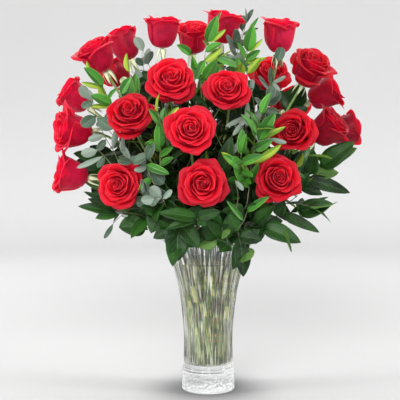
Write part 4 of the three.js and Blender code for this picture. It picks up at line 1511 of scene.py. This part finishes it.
def makeVase():
    flutes, depth, wall, floor = (vaseShape[k] for k in ("flutes", "fluteDepth", "wall", "floor"))
    sides = flutes * 12
    angles = np.linspace(0, 2 * math.pi, sides, endpoint=False)
    scallop = np.abs(np.sin(angles * flutes / 2))
    (base, _), (side, corner), _ = vaseShape["foot"]
    turns = np.linspace(0.3, math.pi / 2, 5)
    outer = [(0.02, 0.6), (38, 0.6), (44, 0.2), (base, 0)]
    outer += [(base + (side - base) * math.sin(a), corner - corner * math.cos(a)) for a in turns]
    chipped = range(len(outer), len(outer) + 21)
    outer += [(side, z) for z in np.linspace(5, 39, 22)] + vaseShape["beads"]
    body = evenCurve([(vaseShape["body"][0][0], 52)] + vaseShape["body"][1:], 9)
    fluted = range(len(outer), len(outer) + len(body))
    rim, top = vaseShape["body"][-1]
    lip = [(rim - 0.5, top + 0.9), (rim - 1.9, top + 1.3), (rim - 3.4, top + 0.8), (rim - wall, top)]
    inner = evenCurve(insideWall(wall)[::-1], 7)[1:]
    rounded = floorRound(0, np.linspace(0.2, math.pi / 2, 5))
    profile = outer + body + lip + inner + rounded + [(20, floor), (0.02, floor)]
    rings = []
    for k, (r, z) in enumerate(profile):
        radius = np.full(sides, float(r))
        if k in fluted:
            radius -= depth * scallop * smooth(0, 3, np.array(k - fluted.start, float))
        elif k in chipped:
            radius -= chipDepths(angles, z)
        heights = np.full(sides, float(z))
        rings.append(np.stack([radius * np.cos(angles), radius * np.sin(angles), heights], 1))
    vase = Builder()
    vase.add(np.concatenate(rings), ringFaces(len(profile), sides) + capFaces(len(profile), sides))
    vase.make("crystalVase", [cutCrystal], "glass", "vase")


# the water reaches a little into the glass, so that no air shows between them
def makeWater():
    floor, level, overlap = (vaseShape[k] for k in ("floor", "waterLevel", "waterOverlap"))
    wall = vaseShape["wall"] - 1.2 * overlap
    inner = [(r, z) for r, z in evenCurve(insideWall(wall), 9) if z < level - 2]
    edge = np.interp(level, [z for _, z in vaseShape["body"]], [r - wall for r, _ in vaseShape["body"]])
    rounded = floorRound(overlap, np.linspace(math.pi / 2, 0.2, 5))
    profile = [(0.02, floor - overlap), (30, floor - overlap)] + rounded + inner
    # the surface creeps up the glass at its edge
    profile += [(edge - 0.6, level), (edge - 0.4, level + 0.9), (edge - 1.2, level + 0.3), (edge - 3, level)]
    profile += [(0.02, level)]
    places, faces = turnedRings(profile, 144)
    water = Builder()
    water.add(places, faces + capFaces(len(profile), 144))
    water.make("vaseWater", [clearWater], "water", "water")


makeVase()
makeWater()
print("vase and water ready")

# studio

# metres; painted light and shade on the sweep: the floor is darker near the vase, and the wall behind the
# bouquet lighter, but less so further off, with a painted contact shadow round the foot
studio = {
    "radius": 3.3,
    "bend": 1.1,
    "height": 3.4,
    "floorTone": 0.515,
    "floorEnds": (0.6, 1.9),
    "wallTone": 0.87,
    "farShare": 0.84,
    "farFrom": (2.6, 3.5),
    "shade": 0.68,
    "shadeReach": 0.18,
    "shadeColour": (0.04, 0.04, 0.045),
    "world": 0.38,
}

# soft boxes: place, aim, width and height, watts, and spread in degrees
lamps = {
    "keyBox": ((-0.5, -2.7, 1.6), (0, 0, 0.45), (2.2, 1.6), 38, 110),
    "leftBox": ((-1.9, -0.4, 1.1), (0, 0, 0.4), (0.35, 1.5), 26, 180),
    "rightBox": ((1.9, -0.4, 1.1), (0, 0, 0.4), (0.35, 1.5), 26, 180),
    "topBox": ((0, 0.0, 2.4), (0, 0, 0.4), (2.4, 2.0), 15, 180),
    "backBox": ((0, 0.5, 1.0), (0, 0.45, 0), (1.8, 0.2), 6, 180),
}


def sweepMaterial():
    material, n = newMaterial("sweepPaper")
    away = n.add("VectorMath", {"operation": "LENGTH"}, Vector=n.here()).outputs["Value"]
    # painted light and shade: darker on the floor near the vase, lighter on the wall behind, dimmer far off
    near = n.span(away, *studio["floorEnds"], studio["floorTone"], studio["wallTone"])
    tone = n.times(near, n.span(away, *studio["farFrom"], 1, studio["farShare"]))
    tone = n.times(tone, n.math("MULTIPLY_ADD", n.mottle(3.0), 0.02, 0.99))
    colour = n.add("CombineColor", Red=tone, Green=tone, Blue=tone)
    shade = n.math("POWER", n.span(away, 0.03, studio["shadeReach"], 1, 0), 1.5)
    colour = n.mix(n.times(shade, studio["shade"]), colour, studio["shadeColour"])
    n.finish(n.add("BsdfPrincipled", Base_Color=colour, Roughness=0.9, Specular_IOR_Level=0.1))
    return material


# a round sweep, so that every side has the same pale ground
def makeSweep():
    radius, bend = studio["radius"], studio["bend"]
    flat = radius - bend
    profile = [(0.001, 0.0), (0.3, 0.0), (1.0, 0.0), (flat, 0.0)]
    turns = np.linspace(0.1, math.pi / 2, 14)
    profile += [(flat + bend * math.sin(a), bend - bend * math.cos(a)) for a in turns]
    profile += [(radius, studio["height"])]
    places, faces = turnedRings(profile, 96)
    mesh = bpy.data.meshes.new("studioSweep")
    mesh.from_pydata(places.tolist(), [], faces)
    mesh.polygons.foreach_set("use_smooth", [True] * len(faces))
    mesh.materials.append(sweepMaterial())
    sweep = bpy.data.objects.new("studioSweep", mesh)
    bpy.context.scene.collection.objects.link(sweep)


def setUp(item, place, way):
    item.location = place
    item.rotation_euler = way.to_track_quat("-Z", "Y").to_euler()
    bpy.context.scene.collection.objects.link(item)


def makeStudio():
    world = bpy.data.worlds.new("softRoom")
    bpy.context.scene.world = world
    world.use_nodes = True
    background = world.node_tree.nodes["Background"].inputs
    background["Color"].default_value = (1, 1, 1, 1)
    background["Strength"].default_value = studio["world"]
    for name, (place, aim, size, watts, spread) in lamps.items():
        light = bpy.data.lights.new(name, "AREA")
        light.shape = "RECTANGLE"
        light.size, light.size_y = size
        light.energy = watts
        light.spread = math.radians(spread)
        setUp(bpy.data.objects.new(name, light), place, Vector(aim) - Vector(place))
    lens = bpy.data.cameras.new("photoCamera")
    lens.sensor_width = camera["sensor"]
    lens.lens = camera["sensor"] * camera["reach"] / camera["pixels"]
    lens.dof.use_dof = False
    viewer = bpy.data.objects.new("photoCamera", lens)
    place, aim = Vector(camera["place"]), Vector(camera["target"])
    setUp(viewer, place * millimetre, aim - place)
    bpy.context.scene.camera = viewer
    bpy.context.scene.view_settings.view_transform = "Standard"


makeSweep()
makeStudio()
print("studio ready")
